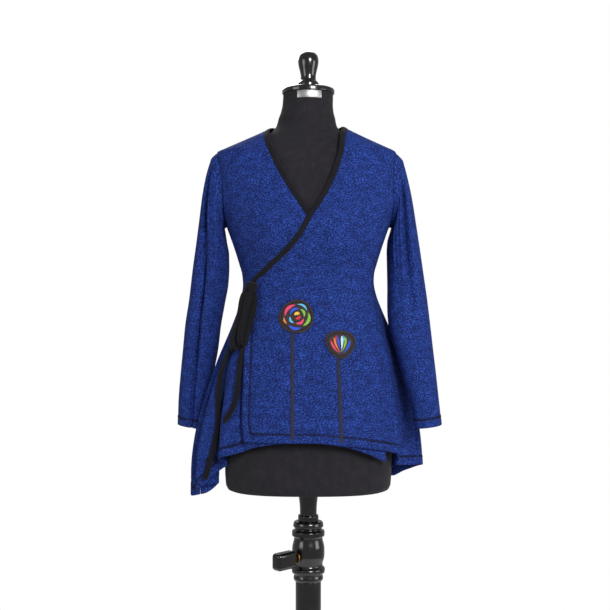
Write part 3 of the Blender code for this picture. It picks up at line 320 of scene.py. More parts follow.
RIGHT_SLEEVE = table(Cuff, (-0.2065, 1.37, -0.1795, 1.2225, 0, 0.06),
    (-0.2165, 1.337, -0.1765, 1.211, 0, 0.06), (-0.2254, 1.291, -0.1732, 1.192, 0.001, 0.059),
    (-0.2322, 1.24, -0.1692, 1.168, 0.004, 0.057), (-0.2392, 1.19, -0.169, 1.14, 0.008, 0.055),
    (-0.247, 1.138, -0.171, 1.108, 0.013, 0.052), (-0.2556, 1.072, -0.18, 1.06, 0.02, 0.05),
    (-0.2645, 1.02, -0.188, 1.018, 0.028, 0.047), (-0.2708, 0.965, -0.1952, 0.964, 0.037, 0.044),
    (-0.277, 0.91, -0.2066, 0.908, 0.046, 0.041), (-0.2822, 0.856, -0.217, 0.852, 0.054, 0.038),
    (-0.2845, 0.802, -0.224, 0.7915, 0.06, 0.035))

LEFT_SLEEVE = table(Cuff, (0.201, 1.366, 0.18, 1.224, 0, 0.06), (0.21, 1.332, 0.175, 1.2125, -0.001, 0.06),
    (0.22, 1.285, 0.1685, 1.1945, -0.003, 0.059), (0.2285, 1.23, 0.1668, 1.168, -0.006, 0.057),
    (0.2355, 1.182, 0.167, 1.138, -0.01, 0.055), (0.2425, 1.13, 0.1672, 1.102, -0.016, 0.052),
    (0.25, 1.0718, 0.1664, 1.056, -0.024, 0.05), (0.255, 1.025, 0.1685, 1.016, -0.031, 0.047),
    (0.261, 0.965, 0.1832, 0.96, -0.04, 0.044), (0.2665, 0.91, 0.1982, 0.906, -0.049, 0.041),
    (0.2715, 0.856, 0.213, 0.854, -0.057, 0.038), (0.2755, 0.815, 0.2205, 0.807, -0.063, 0.035))

RIGHT_SLEEVE_FOLDS = table(SleeveFold, (68, 15, 0.0065, 0.04, 0.9), (108, 14, -0.0025, 0.1, 0.8),
    (290, 20, 0.006, 0.1, 0.85))

LEFT_SLEEVE_FOLDS = table(SleeveFold, (86, 13, 0.0065, 0.04, 0.7), (116, 11, 0.003, 0.1, 0.62),
    (285, 20, 0.006, 0.1, 0.85))

FORM_EASE = table(Ease, (1.45, 0.004, 0), (1.427, 0.0068, 0), (1.38, 0.005, 0), (1.34, 0.0042, 0),
    (1.27, 0.004, 0), (1.225, 0.0012, 0), (1.19, 0.002, 0.001), (1.11, 0.008, 0.006), (0.939, 0.006, 0.01),
    (0.85, 0.008, 0.012), (0.75, 0.0095, 0.016), (0.64, 0.013, 0.018))

OUTER_LOOP = table(RoutePoint, (-0.1187, 1.0953, 0.0125), (-0.1288, 1.0832, 0.014),
    (-0.1359, 1.0671, 0.0135), (-0.1391, 1.0469, 0.0125), (-0.1428, 1.0287, 0.0115),
    (-0.1492, 1.0105, 0.011), (-0.1549, 0.9923, 0.011), (-0.1557, 0.9782, 0.0105), (-0.1508, 0.9697, 0.0092),
    (-0.1456, 0.9762, 0.007), (-0.1399, 0.9923, 0.0066), (-0.1329, 1.0186, 0.007), (-0.1268, 1.0469, 0.0075),
    (-0.1218, 1.0731, 0.008), (-0.1177, 1.0953, 0.0085))

INNER_LOOP = table(RoutePoint, (-0.1167, 1.0953, 0.0165), (-0.1185, 1.0832, 0.018), (-0.1238, 1.065, 0.018),
    (-0.1278, 1.0448, 0.0175), (-0.1335, 1.0206, 0.0165), (-0.1379, 1.0004, 0.0155),
    (-0.1387, 0.9883, 0.014), (-0.1355, 0.981, 0.0122), (-0.131, 0.9873, 0.0108), (-0.1262, 1.0024, 0.011),
    (-0.1197, 1.0206, 0.0115), (-0.1145, 1.0428, 0.0118), (-0.1113, 1.0691, 0.012),
    (-0.1125, 1.0953, 0.0118))

LONG_TAIL = table(RoutePoint, (-0.125, 1.0938, 0.0032), (-0.13, 1.0713, 0.0024), (-0.14, 1.0258, 0.0024),
    (-0.1529, 0.9864, 0.0028), (-0.1667, 0.96, 0.0032), (-0.181, 0.9223, 0.0034), (-0.1869, 0.8725, 0.0037),
    (-0.1871, 0.8227, 0.0037), (-0.1917, 0.7896, 0.004), (-0.199, 0.7561, 0.0042), (-0.215, 0.6987, 0.0047))

SHORT_TAIL = table(RoutePoint, (-0.1125, 1.0927, 0.0056), (-0.1165, 1.0713, 0.0026),
    (-0.1215, 1.0303, 0.003), (-0.1275, 0.989, 0.0035), (-0.1334, 0.9691, 0.0037), (-0.1392, 0.9412, 0.0039),
    (-0.144, 0.8916, 0.0043), (-0.1506, 0.86, 0.0045), (-0.1641, 0.8332, 0.0048), (-0.1726, 0.8211, 0.0051))

FINIAL = table(Turning, (0, 1.5228), (0.0222, 1.5228), (0.0222, 1.532), (0.02, 1.5355), (0.0163, 1.54),
    (0.016, 1.547), (0.018, 1.559), (0.0208, 1.571), (0.0218, 1.58), (0.0205, 1.589), (0.016, 1.596),
    (0.0085, 1.5993), (0, 1.6))

NECK_CAP = table(Turning, (0, 1.51), (0.0548, 1.51), (0.0558, 1.5112), (0.0558, 1.5165), (0.054, 1.5198),
    (0.048, 1.5216), (0.03, CAP_TOP_Z), (0, CAP_TOP_Z))

FERRULE = table(Turning, (0, MAST_TOP_Z + SEAM_GAP), (BORE_RADIUS, MAST_TOP_Z + SEAM_GAP),
    (BORE_RADIUS, 0.6012), (0.0205, 0.6012), (0.0218, 0.603), (0.0218, 0.6125), (0.0205, 0.6146),
    (0.0177, 0.615), (0.0181, 0.632), (0.0202, 0.654), (0.0208, 0.6697), (0, 0.6697))

POLE_HEAD = table(Turning, (BORE_RADIUS, HEAD_BOTTOM_Z), (0.0285, HEAD_BOTTOM_Z), (0.0316, 0.481),
    (0.03, 0.4889), (0.0345, 0.4925), (0.0355, 0.5), (0.03, 0.5086), (0.0345, 0.529), (0.0345, 0.543),
    (0.03, 0.5672), (0.0348, 0.5715), (0.0348, 0.58), (0.0278, 0.5856), (0.0322, 0.591), (0.0312, 0.598),
    (0.0285, HEAD_TOP_Z), (BORE_RADIUS, HEAD_TOP_Z))

LOWER_POLE = table(Turning, (0, BASE_TOP_Z + SEAM_GAP), (0.042, BASE_TOP_Z + SEAM_GAP), (0.042, 0.032),
    (0.038, 0.037), (0.029, 0.04), (POLE_RADIUS, 0.05), (POLE_RADIUS, HEAD_BOTTOM_Z - SEAM_GAP),
    (BORE_RADIUS, HEAD_BOTTOM_Z - SEAM_GAP), (BORE_RADIUS, BORE_BOTTOM_Z), (0, BORE_BOTTOM_Z))

MAST = table(Turning, (0, MAST_BOTTOM_Z), (MAST_RADIUS - 0.001, MAST_BOTTOM_Z),
    (MAST_RADIUS, MAST_BOTTOM_Z + 0.001), (MAST_RADIUS, MAST_TOP_Z), (0, MAST_TOP_Z))

BASE = table(Turning, (0, 0), (BASE_RADIUS - 0.003, 0), (BASE_RADIUS, 0.003), (BASE_RADIUS, 0.01),
    (BASE_RADIUS - 0.006, 0.0155), (0.06, BASE_TOP_Z), (0, BASE_TOP_Z))

NECK_RINGS = table(NeckRing, (1.44, 0.0645, 0.056), (1.4435, 0.0636, 0.0555), (1.447, 0.0625, 0.0552),
    (1.457, 0.0603, 0.055), (1.471, 0.056, 0.0538), (1.487, 0.0536, 0.053),
    (NECK_TOP_Z, NECK_RADIUS, NECK_RADIUS))

# Soft creases: on the panels by angle and height, on the sleeves by turn and share of the length.
CREASES_BODY = table(Crease, (-58, 1.12, -22, 1.165, 0.007, 0.0015),
    (-62, 1.098, -30, 1.118, 0.0055, 0.0014), (-60, 1.085, -24, 1.06, 0.006, 0.0015),
    (-64, 1.07, -44, 1.02, 0.005, 0.0015), (48, 1.128, 86, 1.108, 0.007, 0.0016),
    (52, 1.096, 88, 1.088, 0.006, 0.0015), (60, 1.25, 74, 1.205, 0.006, 0.0018),
    (-60, 1.246, -73, 1.206, 0.006, 0.0018), (30, 1.345, 62, 1.29, 0.009, 0.0018),
    (-34, 1.35, -64, 1.292, 0.009, 0.0018), (8, 0.985, 14, 0.845, 0.011, 0.0012),
    (-22, 0.96, -27, 0.83, 0.01, 0.001), (46, 0.98, 52, 0.815, 0.01, 0.0016),
    (80, 1.01, 68.5, 0.69, 0.0038, -0.0085), (77, 1.01, 65.5, 0.69, 0.0045, 0.0034),
    (150, 1.13, 206, 1.122, 0.008, 0.0024), (140, 1.102, 196, 1.096, 0.007, 0.0021),
    (168, 1.072, 222, 1.078, 0.008, 0.0019), (114, 1.136, 150, 1.158, 0.007, 0.0019),
    (246, 1.138, 212, 1.16, 0.007, 0.0019), (122, 1.262, 148, 1.32, 0.01, 0.0016),
    (238, 1.26, 214, 1.316, 0.01, 0.0016), (174, 1.36, 180, 1.26, 0.014, 0.0014))

RIGHT_SLEEVE_CREASES = table(Crease, (42, -0.12, 60, 0.52, 0.008, -0.0165),
    (62, -0.12, 77, 0.48, 0.0034, 0.0046), (71, 0.24, 85, 0.84, 0.0046, -0.015),
    (83, 0.62, 98, 1.14, 0.0044, -0.012), (96, -0.01, 104, 0.5, 0.0045, 0.0027),
    (132, 0.04, 118, 0.34, 0.004, -0.0038), (150, 0.3, 108, 0.37, 0.005, -0.0029),
    (150, 0.52, 96, 0.47, 0.006, -0.0026), (40, 0.66, 96, 0.72, 0.007, 0.0029),
    (236, -0.02, 262, 0.5, 0.0045, -0.0058), (300, 0.02, 286, 0.6, 0.006, -0.0048),
    (216, 0.36, 286, 0.42, 0.006, -0.0032), (220, 0.47, 300, 0.5, 0.006, -0.0029))

LEFT_SLEEVE_CREASES = table(Crease, (74, -0.12, 82, 0.56, 0.0065, -0.0115),
    (94, -0.12, 98, 0.52, 0.0032, 0.0042), (112, -0.12, 116, 0.5, 0.0035, 0.0026),
    (124, -0.02, 128, 0.44, 0.0032, 0.0038), (60, 0.02, 70, 0.46, 0.006, 0.0021),
    (146, 0.34, 104, 0.4, 0.0055, -0.0026), (146, 0.58, 92, 0.54, 0.006, -0.0026),
    (50, 0.7, 104, 0.76, 0.007, 0.0029), (238, -0.02, 258, 0.54, 0.0045, -0.0058),
    (304, 0.04, 284, 0.56, 0.006, -0.0048), (214, 0.4, 290, 0.44, 0.006, -0.0032),
    (222, 0.52, 296, 0.49, 0.006, -0.0026))

CREASES_UNDER = table(Crease, (-55.6, 1.02, -50.2, 0.7, 0.0062, -0.0085),
    (-72, 0.96, -78, 0.76, 0.007, 0.0022), (-84, 0.98, -87, 0.72, 0.006, -0.0016),
    (-64, 0.905, -68, 0.79, 0.006, 0.0012))


class SmoothTable:
    """A smooth curve through a table's points, which never overshoots them."""

    def __init__(self, places: Sequence[float], values: Sequence[float]) -> None:
        """Works out the curve's slopes.

        Args:
            places: where the points are.
            values: what the curve is there.
        """
        order = np.argsort(places)
        self.places = np.asarray(places, float)[order]
        self.values = np.asarray(values, float)[order]
        rise = np.diff(self.values) / np.diff(self.places)
        self.slopes = np.zeros(len(self.places))
        self.slopes[0], self.slopes[-1] = rise[0], rise[-1]
        for i in range(1, len(rise)):
            if rise[i - 1] * rise[i] > 0:
                self.slopes[i] = 2 * rise[i - 1] * rise[i] / (rise[i - 1] + rise[i])

    def __call__(self, place: Array | float) -> Array:
        """The curve's values at some places.

        Args:
            place: one place or an array of them.

        Returns:
            The values, in the same shape.
        """
        place = np.clip(place, self.places[0], self.places[-1])
        i = np.clip(np.searchsorted(self.places, place, side="right") - 1, 0, len(self.places) - 2)
        span = self.places[i + 1] - self.places[i]
        t = (place - self.places[i]) / span
        near = (1 + 2 * t) * (1 - t) ** 2 * self.values[i] + t * (1 - t) ** 2 * span * self.slopes[i]
        far = t * t * (3 - 2 * t) * self.values[i + 1] - t * t * (1 - t) * span * self.slopes[i + 1]
        return near + far


def over(rows: Sequence[NamedTuple], place: str, value: str) -> SmoothTable:
    """The smooth curve of one column of a table over another."""
    return SmoothTable([getattr(row, place) for row in rows], [getattr(row, value) for row in rows])


HALF_WIDTH_AT = over(BODY_SECTIONS, "z", "half_width")
FRONT_AT = over(BODY_SECTIONS, "z", "front")
BACK_AT = over(BODY_SECTIONS, "z", "back")
LEAN_AT = over(BODY_LEAN, "z", "shift_x")
EASE_AT = over(FORM_EASE, "z", "all_round")
FRONT_EASE_AT = over(FORM_EASE, "z", "in_front")
HEM_AT = over(HEM, "angle", "z")
OVER_HEM_AT = over(OVER_HEM, "angle", "z")
# How square the rings are, the panels' grids, and the relief of seams, hems and the free edge's lip.
ROUNDNESS = 2.35
SLEEVE_ROUNDNESS = 2.3
ARMHOLE_HALF_ANGLE = math.radians(19.0)
ARMHOLE_ROWS, WAIST_ROW, PANEL_ROWS = 10, 17, 26
BACK_COLUMNS, NECK_COLUMNS = 26, 8
BACK_NECK_RISE = 0.002
BODY_RADIUS = 0.165
RISE_SPAN = (0.62, 1.45)
RISE_STEPS, RISE_TURNS = 160, 181
SLEEVE_RADIUS, SLEEVE_LENGTH = 0.042, 0.60
CUFF_RADIUS, SLEEVE_ROUND = 0.045, 0.30
FOLD_FOOT_Z = 0.70
SEAM_GROOVE, SEAM_GROOVE_WIDTH = 0.0008, 0.0020
ALLOWANCE_RIDGE, ALLOWANCE_PLACE, ALLOWANCE_WIDTH = 0.00035, 0.0060, 0.0028
HEM_FOLD, HEM_RAMP = 0.0005, 0.004
STITCH_PULL, STITCH_PULL_WIDTH = 0.0006, 0.0019
STITCH_ROOM = 0.0016
LIP_HEIGHT, LIP_PLACE, LIP_WIDTH = 0.0050, 0.0065, 0.0042
LIP_FOOT, LIP_FOOT_WIDTH = 0.0016, 0.006
LIFT_START, LIFT_SPAN = 66.0, 20.0
PETAL_ROW = 0.0007
THREAD_RINGS = ((0.14, 0.45), (0.5, 1.0), (0.86, 0.45))
CAP_SHARE, CAP_STEP, CAP_TIP = 0.55, 0.0009, 0.0011


def smooth_step(value: Array) -> Array:
    """0 below 0, 1 above 1 and a soft rise between."""
    value = np.clip(value, 0.0, 1.0)
    return value * value * (3 - 2 * value)


def bump(distance: Array, width: float) -> Array:
    """A soft bump of height 1, of about twice that width."""
    return np.exp(-(distance / width) ** 2)


def unit(vectors: Array) -> Array:
    """Vectors of length 1."""
    return vectors / np.maximum(np.linalg.norm(vectors, axis=-1, keepdims=True), 1e-12)


def signed_power(value: Array, power: float) -> Array:
    """A number to a power, with its own sign."""
    return np.sign(value) * np.abs(value) ** power


def halved(low: Array, high: Array, before: Callable[[Array], Array], times: int) -> Line:
    """Narrows spans down to where a test turns false.

    Args:
        low: the spans' starts.
        high: their ends.
        before: the test, true before the wanted places.
        times: how often the spans are halved.

    Returns:
        The narrow spans' starts and ends.
    """
    for _ in range(times):
        middle = (low + high) / 2
        less = before(middle)
        low, high = np.where(less, middle, low), np.where(less, high, middle)
    return low, high


def turn_between(angle: Array, centre_degrees: float) -> Array:
    """The shortest turn from a fold's centre to an angle, in degrees."""
    return (np.degrees(angle) - centre_degrees + 180.0) % 360.0 - 180.0


def surface_point(angle: Array, z: Array, folded: bool = True) -> Array:
    """Points of the garment's outer surface.

    Args:
        angle: angles round the pole, in radians.
        z: heights.
        folded: whether the skirt's folds are in it.

    Returns:
        The points, with a last axis of three.
    """
    angle, z = np.broadcast_arrays(np.asarray(angle, float), np.asarray(z, float))
    depth = np.where(np.cos(angle) > 0, FRONT_AT(z), BACK_AT(z))
    across, along = np.abs(np.sin(angle)) / HALF_WIDTH_AT(z), np.abs(np.cos(angle)) / depth
    radius = (across ** ROUNDNESS + along ** ROUNDNESS) ** (-1 / ROUNDNESS)
    for bust in BUSTS:
        side, up = turn_between(angle, bust.angle) / bust.half_angle, (z - bust.z) / bust.half_height
        radius = radius + bust.swell * np.exp(-side * side - up * up)
    if folded:
        for fold in FOLDS:
            drop = smooth_step((fold.top_z - z) / (fold.top_z - FOLD_FOOT_Z))
            radius = radius + fold.swell * drop * bump(turn_between(angle, fold.angle), fold.half_angle)
    return np.stack((radius * np.sin(angle) + LEAN_AT(z), -radius * np.cos(angle), z), axis=-1)


def surface_normal(angle: Array, z: Array, folded: bool = True) -> Array:
    """Outward normals of the garment's surface.

    Args:
        angle: angles round the pole, in radians.
        z: heights.
        folded: whether the skirt's folds are in it.

    Returns:
        The normals.
    """
    turn, rise = 0.004, 0.0006
    across = surface_point(angle + turn, z, folded) - surface_point(angle - turn, z, folded)
    up = surface_point(angle, z + rise, folded) - surface_point(angle, z - rise, folded)
    return unit(np.cross(across, up))


def cloth_point(angle: Array, z: Array, out: Array | float = 0.0, folded: bool = True) -> Array:
    """Points moved out of the garment's surface."""
    out = np.asarray(out, float)[..., None]
    return surface_point(angle, z, folded) + surface_normal(angle, z, folded) * out


def angle_at(x: Array, z: Array) -> Array:
    """The angles of the front half where the surface has a given x.

    Args:
        x: sideways places.
        z: heights.

    Returns:
        The angles.
    """
    x, z = np.broadcast_arrays(np.asarray(x, float), np.asarray(z, float))
    low, high = halved(np.full(x.shape, -math.pi / 2), np.full(x.shape, math.pi / 2),
                       lambda middle: surface_point(middle, z)[..., 0] < x, 40)
    return (low + high) / 2


def knit_rises() -> Array:
    """Heights measured along the cloth, on an even grid of heights and turns.

    Returns:
        The grid of heights.
    """
    levels, turns = np.meshgrid(np.linspace(*RISE_SPAN, RISE_STEPS),
                                np.linspace(-math.pi, math.pi, RISE_TURNS), indexing="ij")
    points = surface_point(turns, levels)
    steps = np.linalg.norm(np.diff(points, axis=0), axis=-1)
    return RISE_SPAN[0] + np.concatenate((np.zeros((1, RISE_TURNS)), np.cumsum(steps, axis=0)))


def knit_rise(angle: Array, z: Array) -> Array:
    """The height along the cloth at angles and heights, for the knit's own rows.

    Args:
        angle: the angles.
        z: the heights.

    Returns:
        The heights, measured along the cloth.
    """
    grid = knit_rises()
    up = np.clip((z - RISE_SPAN[0]) / (RISE_SPAN[1] - RISE_SPAN[0]), 0.0, 0.9999) * (RISE_STEPS - 1)
    turn = (angle + math.pi) / (2 * math.pi) % 1.0 * (RISE_TURNS - 1)
    i, j = up.astype(int), np.minimum(turn.astype(int), RISE_TURNS - 2)
    part = turn - j
    low = grid[i, j] * (1 - part) + grid[i, j + 1] * part
    high = grid[i + 1, j] * (1 - part) + grid[i + 1, j + 1] * part
    return low + (high - low) * (up - i)


def crease_relief(creases: Sequence[Crease], angle: Array, z: Array, radius: float = BODY_RADIUS,
                  rise: float = 1.0) -> Array:
    """How far the creases stand out at angles and heights.

    Args:
        creases: the creases.
        angle: angles round the pole, in radians.
        z: heights.
        radius: metres to a radian of angle.
        rise: metres to a unit of height.

    Returns:
        The relief, in metres.
    """
    total = np.zeros(np.broadcast(angle, z).shape)
    for crease in creases:
        away, up = np.radians(turn_between(angle, crease.angle)) * radius, (z - crease.z) * rise
        run = math.radians(crease.to_angle - crease.angle) * radius, (crease.to_z - crease.z) * rise
        length = math.hypot(*run)
        along = (away * run[0] + up * run[1]) / length ** 2
        beside = (away * run[1] - up * run[0]) / length + 0.0012 * np.sin(along * 7.0)
        ends = np.sin(math.pi * np.clip(along, 0.0, 1.0)) ** 0.8
        total = total + crease.height * ends * bump(beside, crease.width)
    return total


def seam_turn(z: Array) -> Array:
    """Half a seam's gap as an angle."""
    return SEAM_GAP / 2 / HALF_WIDTH_AT(z)


def armhole(turn: Array, side: float, grow: Array | float) -> Line:
    """Angles and heights on an armhole's edge.

    Args:
        turn: 0 at the shoulder tip and pi at the armpit, over the front.
        side: 1 for the wearer's left, -1 for the right.
        grow: how far out of the edge.

    Returns:
        Angles and heights.
    """
    half_height = (SHOULDER_TIP_Z - ARMPIT_Z) / 2
    z = (SHOULDER_TIP_Z + ARMPIT_Z) / 2 + (half_height + grow) * np.cos(turn)
    swing = (ARMHOLE_HALF_ANGLE + grow / HALF_WIDTH_AT(z)) * np.sin(turn)
    return side * (math.pi / 2 - swing), z


def side_edge(row: Array, side: float, front: bool, hem_z: float) -> Line:
    """Angles and heights down a panel's outer edge: armhole, then side seam.

    Args:
        row: rows, which need not be whole.
        side: 1 for the wearer's left, -1 for the right.
        front: whether the panel is a front.
        hem_z: where the edge ends.

    Returns:
        Angles and heights.
    """
    facing = 1.0 if front else -1.0
    armpit = ARMPIT_Z - SEAM_GAP
    turn = math.pi * np.minimum(row, ARMHOLE_ROWS) / ARMHOLE_ROWS * facing
    hole_angle, hole_z = armhole(turn, side, SEAM_GAP)
    to_waist = armpit + (WAIST_Z - armpit) * (row - ARMHOLE_ROWS) / (WAIST_ROW - ARMHOLE_ROWS)
    to_hem = WAIST_Z + (hem_z - WAIST_Z) * (row - WAIST_ROW) / (PANEL_ROWS - WAIST_ROW)
    z = np.where(row <= ARMHOLE_ROWS, hole_z, np.where(row <= WAIST_ROW, to_waist, to_hem))
    angle = np.where(row <= ARMHOLE_ROWS, hole_angle, side * math.pi / 2)
    return angle - side * facing * seam_turn(z), z


def part_way(start: Line, end: Line, share: Array) -> Line:
    """Angles and heights part of the way from one line to another."""
    return start[0] + (end[0] - start[0]) * share, start[1] + (end[1] - start[1]) * share


def lengths(points: Array, axis: int) -> Array:
    """Lengths along a grid of points from its first row or column.

    Args:
        points: a grid or a line of points.
        axis: 0 down the rows, 1 along them.

    Returns:
        The lengths.
    """
    step = np.linalg.norm(np.diff(points, axis=axis), axis=-1)
    total = np.cumsum(step, axis=axis)
    first = np.zeros_like(np.take(total, [0], axis=axis))
    return np.concatenate((first, total), axis=axis)


def seam_relief(distance: Array) -> Array:
    """The groove of a seam and the ridge of its allowance."""
    ridge = ALLOWANCE_RIDGE * bump(distance - ALLOWANCE_PLACE, ALLOWANCE_WIDTH)
    return -SEAM_GROOVE * bump(distance, SEAM_GROOVE_WIDTH) + ridge


def hem_relief(distance: Array, along: Array) -> Array:
    """A turned-up hem: thicker cloth, then the groove that its stitching pulls in.

    Args:
        distance: distances from the hem's edge.
        along: lengths along it.

    Returns:
        The relief, in metres.
    """
    fold = HEM_FOLD * (1 - smooth_step((distance - HEM_DEPTH + HEM_RAMP / 2) / HEM_RAMP))
    pull = STITCH_PULL + 0.00018 * np.sin(along / 0.0105) + 0.00012 * np.sin(along / 0.0041 + 1.0)
    return fold - pull * bump(distance - HEM_DEPTH, STITCH_PULL_WIDTH)


def placed(name: str, data: bpy.types.ID) -> Piece:
    """A new object of some data, in the scene.

    Args:
        name: the object's name.
        data: its mesh, camera or light.

    Returns:
        The object.
    """
    made = bpy.data.objects.new(name, data)
    bpy.context.scene.collection.objects.link(made)
    return made


def put_mesh(name: str, verts: Array, faces: list | Array, uv: Array | None = None) -> Piece:
    """Makes a smooth shaded object of points and faces, with its faces pointing out.

    Args:
        name: the piece's name.
        verts: points.
        faces: index lists, all of four where uv is given.
        uv: one place for each corner of each face.

    Returns:
        The object.
    """
    mesh = bpy.data.meshes.new(name)
    mesh.from_pydata(np.asarray(verts).tolist(), [], np.asarray(faces).tolist() if uv is not None else faces)
    if uv is not None:
        layer = mesh.uv_layers.new(name="cloth")
        layer.data.foreach_set("uv", np.asarray(uv, np.float32).ravel())
    mesh.update()
    bm = bmesh.new()
    bm.from_mesh(mesh)
    if bm.calc_volume(signed=True) < 0:
        bmesh.ops.reverse_faces(bm, faces=bm.faces)
        bm.to_mesh(mesh)
    bm.free()
    mesh.shade_smooth()
    return placed(name, mesh)


def shell(name: str, outer: Array, inner: Array, uv: Array, tube: bool = False,
          bulge: float = 0.0006) -> Piece:
    """A cloth wall between two grids of points, with rounded edges.

    Args:
        name: the piece's name.
        outer: rows of points of the outer side.
        inner: rows of points of the inner side.
        uv: the cloth's own coordinates in metres, with a column more than outer on a tube.
        tube: whether the rows are closed rings.
        bulge: how far the edges are rounded out.

    Returns:
        The object.
    """
    rows, columns = outer.shape[:2]
    count = rows * columns
    index = np.arange(count).reshape(rows, columns)
    if tube:
        index = np.concatenate((index, index[:, :1]), axis=1)

    def quads(grid: Array, back: bool) -> Array:
        """The four corners of each of a grid's cells, turned over for the inner side.

        Args:
            grid: numbers or places of the grid's points.
            back: whether it is the inner side.

        Returns:
            Four of them to a cell.
        """
        ring = [grid[:-1, :-1], grid[:-1, 1:], grid[1:, 1:], grid[1:, :-1]]
        if back:
            ring = [ring[0], ring[3], ring[2], ring[1]]
        return np.stack(ring, axis=2).reshape(-1, 4, *grid.shape[2:])

    faces = [quads(index, False), quads(index, True) + count]
    places = [quads(uv, False), quads(uv, True)]
    last = index.shape[1] - 1
    top = [(0, j) for j in range(last + 1)]
    foot = [(rows - 1, j) for j in range(last, -1, -1)]
    if tube:
        loops = [top, foot]
    else:
        right = [(i, last) for i in range(1, rows - 1)]
        left = [(i, 0) for i in range(rows - 2, 0, -1)]
        loops = [top + right + foot + left + [(0, 0)]]
    verts = [outer.reshape(-1, 3), inner.reshape(-1, 3)]
    base = 2 * count
    for loop in loops:
        at = np.array([index[i, j] for i, j in loop])
        inside = np.array([index[min(max(i, 1), rows - 2), j if tube else min(max(j, 1), last - 1)]
                           for i, j in loop])
        near, far = verts[0][at], verts[1][at]
        verts.append((near + far) / 2 + unit(near - verts[0][inside]) * bulge)
        rim = base + np.arange(len(loop))
        base += len(loop)
        rim[-1] = rim[0]
        spot = np.array([uv[i, j] for i, j in loop])
        for first, second in ((at, rim), (rim, at + count)):
            faces.append(np.stack((first[1:], first[:-1], second[:-1], second[1:]), axis=1))
            places.append(np.stack((spot[1:], spot[:-1], spot[:-1], spot[1:]), axis=1))
    made = put_mesh(name, np.concatenate(verts), np.concatenate(faces), np.concatenate(places))
    edit = bmesh.new()
    edit.from_mesh(made.data)
    bmesh.ops.delete(edit, geom=[vert for vert in edit.verts if not vert.link_faces], context="VERTS")
    edit.to_mesh(made.data)
    edit.free()
    return made


def edge_distance(points: Array, line: Array) -> Array:
    """The distance of each point of a grid from the nearest point of a line.

    Args:
        points: a grid of points.
        line: the line's own points.

    Returns:
        The distances, in the grid's shape.
    """
    quarters = [line[:-1] + (line[1:] - line[:-1]) * part for part in (0.0, 0.25, 0.5, 0.75)]
    fine = np.concatenate(quarters + [line[-1:]])
    flat = points.reshape(-1, 3)
    near, many = np.empty(len(flat)), 4000
    for start in range(0, len(flat), many):
        squares = (flat[start:start + many, None, :] - fine[None, :, :]) ** 2
        near[start:start + many] = np.sqrt(squares.sum(axis=2).min(axis=1))
    return near.reshape(points.shape[:-1])


def path_through(points: Sequence[EdgePoint]) -> tuple[SmoothTable, SmoothTable]:
    """A smooth line through an edge's points, as x and z over the share of its length.

    Args:
        points: the edge's points, from above.

    Returns:
        The curves of x and of z.
    """
    flat = np.array([[point.x, point.z] for point in points])
    along = np.concatenate(([0.0], np.cumsum(np.linalg.norm(np.diff(flat, axis=0), axis=1))))
    return SmoothTable(along / along[-1], flat[:, 0]), SmoothTable(along / along[-1], flat[:, 1])


def inset(angle: Array, z: Array, distance: float) -> Line:
    """Moves a line on the garment's surface sideways, to the left of its run seen from outside.

    Args:
        angle: the line's angles.
        z: the line's heights.
        distance: how far, in metres.

    Returns:
        The new angles and heights.
    """
    points = surface_point(angle, z)
    run = unit(np.gradient(points, axis=0))
    side = np.cross(surface_normal(angle, z), run)
    step = 0.002
    turn = (surface_point(angle + step, z) - surface_point(angle - step, z)) / (2 * step)
    rise = (surface_point(angle, z + step) - surface_point(angle, z - step)) / (2 * step)
    a, b, c = (turn * turn).sum(-1), (turn * rise).sum(-1), (rise * rise).sum(-1)
    p, q = (side * turn).sum(-1), (side * rise).sum(-1)
    scale = distance / (a * c - b * b)
    return angle + (p * c - q * b) * scale, z + (q * a - p * b) * scale


def dress(made: Piece, finish: Finish, node: str | None = None, body: str = "form") -> Piece:
    """Gives a piece its finish and its body, and hides the CAD node that it replaces.

    Args:
        made: the piece.
        finish: what it is made of.
        node: the CAD node, if it replaces one.
        body: the body that it rides on.

    Returns:
        The piece.
    """
    finish.put_on(made)
    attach(made, body)
    if node:
        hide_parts(node)
    return made


@dataclass
class ClothPiece:
    """What a maker's piece of cloth is."""

    name: str
    flat: Pair
    held: str
    rests_on: tuple[str, ...]
    slot: str
    finish: Finish
    area: float | None = None

    @property
    def piece_name(self) -> str:
        """The visual piece's own name."""
        return f"{self.name}_cloth"

    def dress(self, made: Piece, pieces: Sequence[Piece] = ()) -> None:
        """Gives the piece its finish and its body, and hides the CAD node that it replaces.

        Args:
            made: the piece.
            pieces: what is sewn on it; not used.
        """
        dress(made, self.finish, self.name)


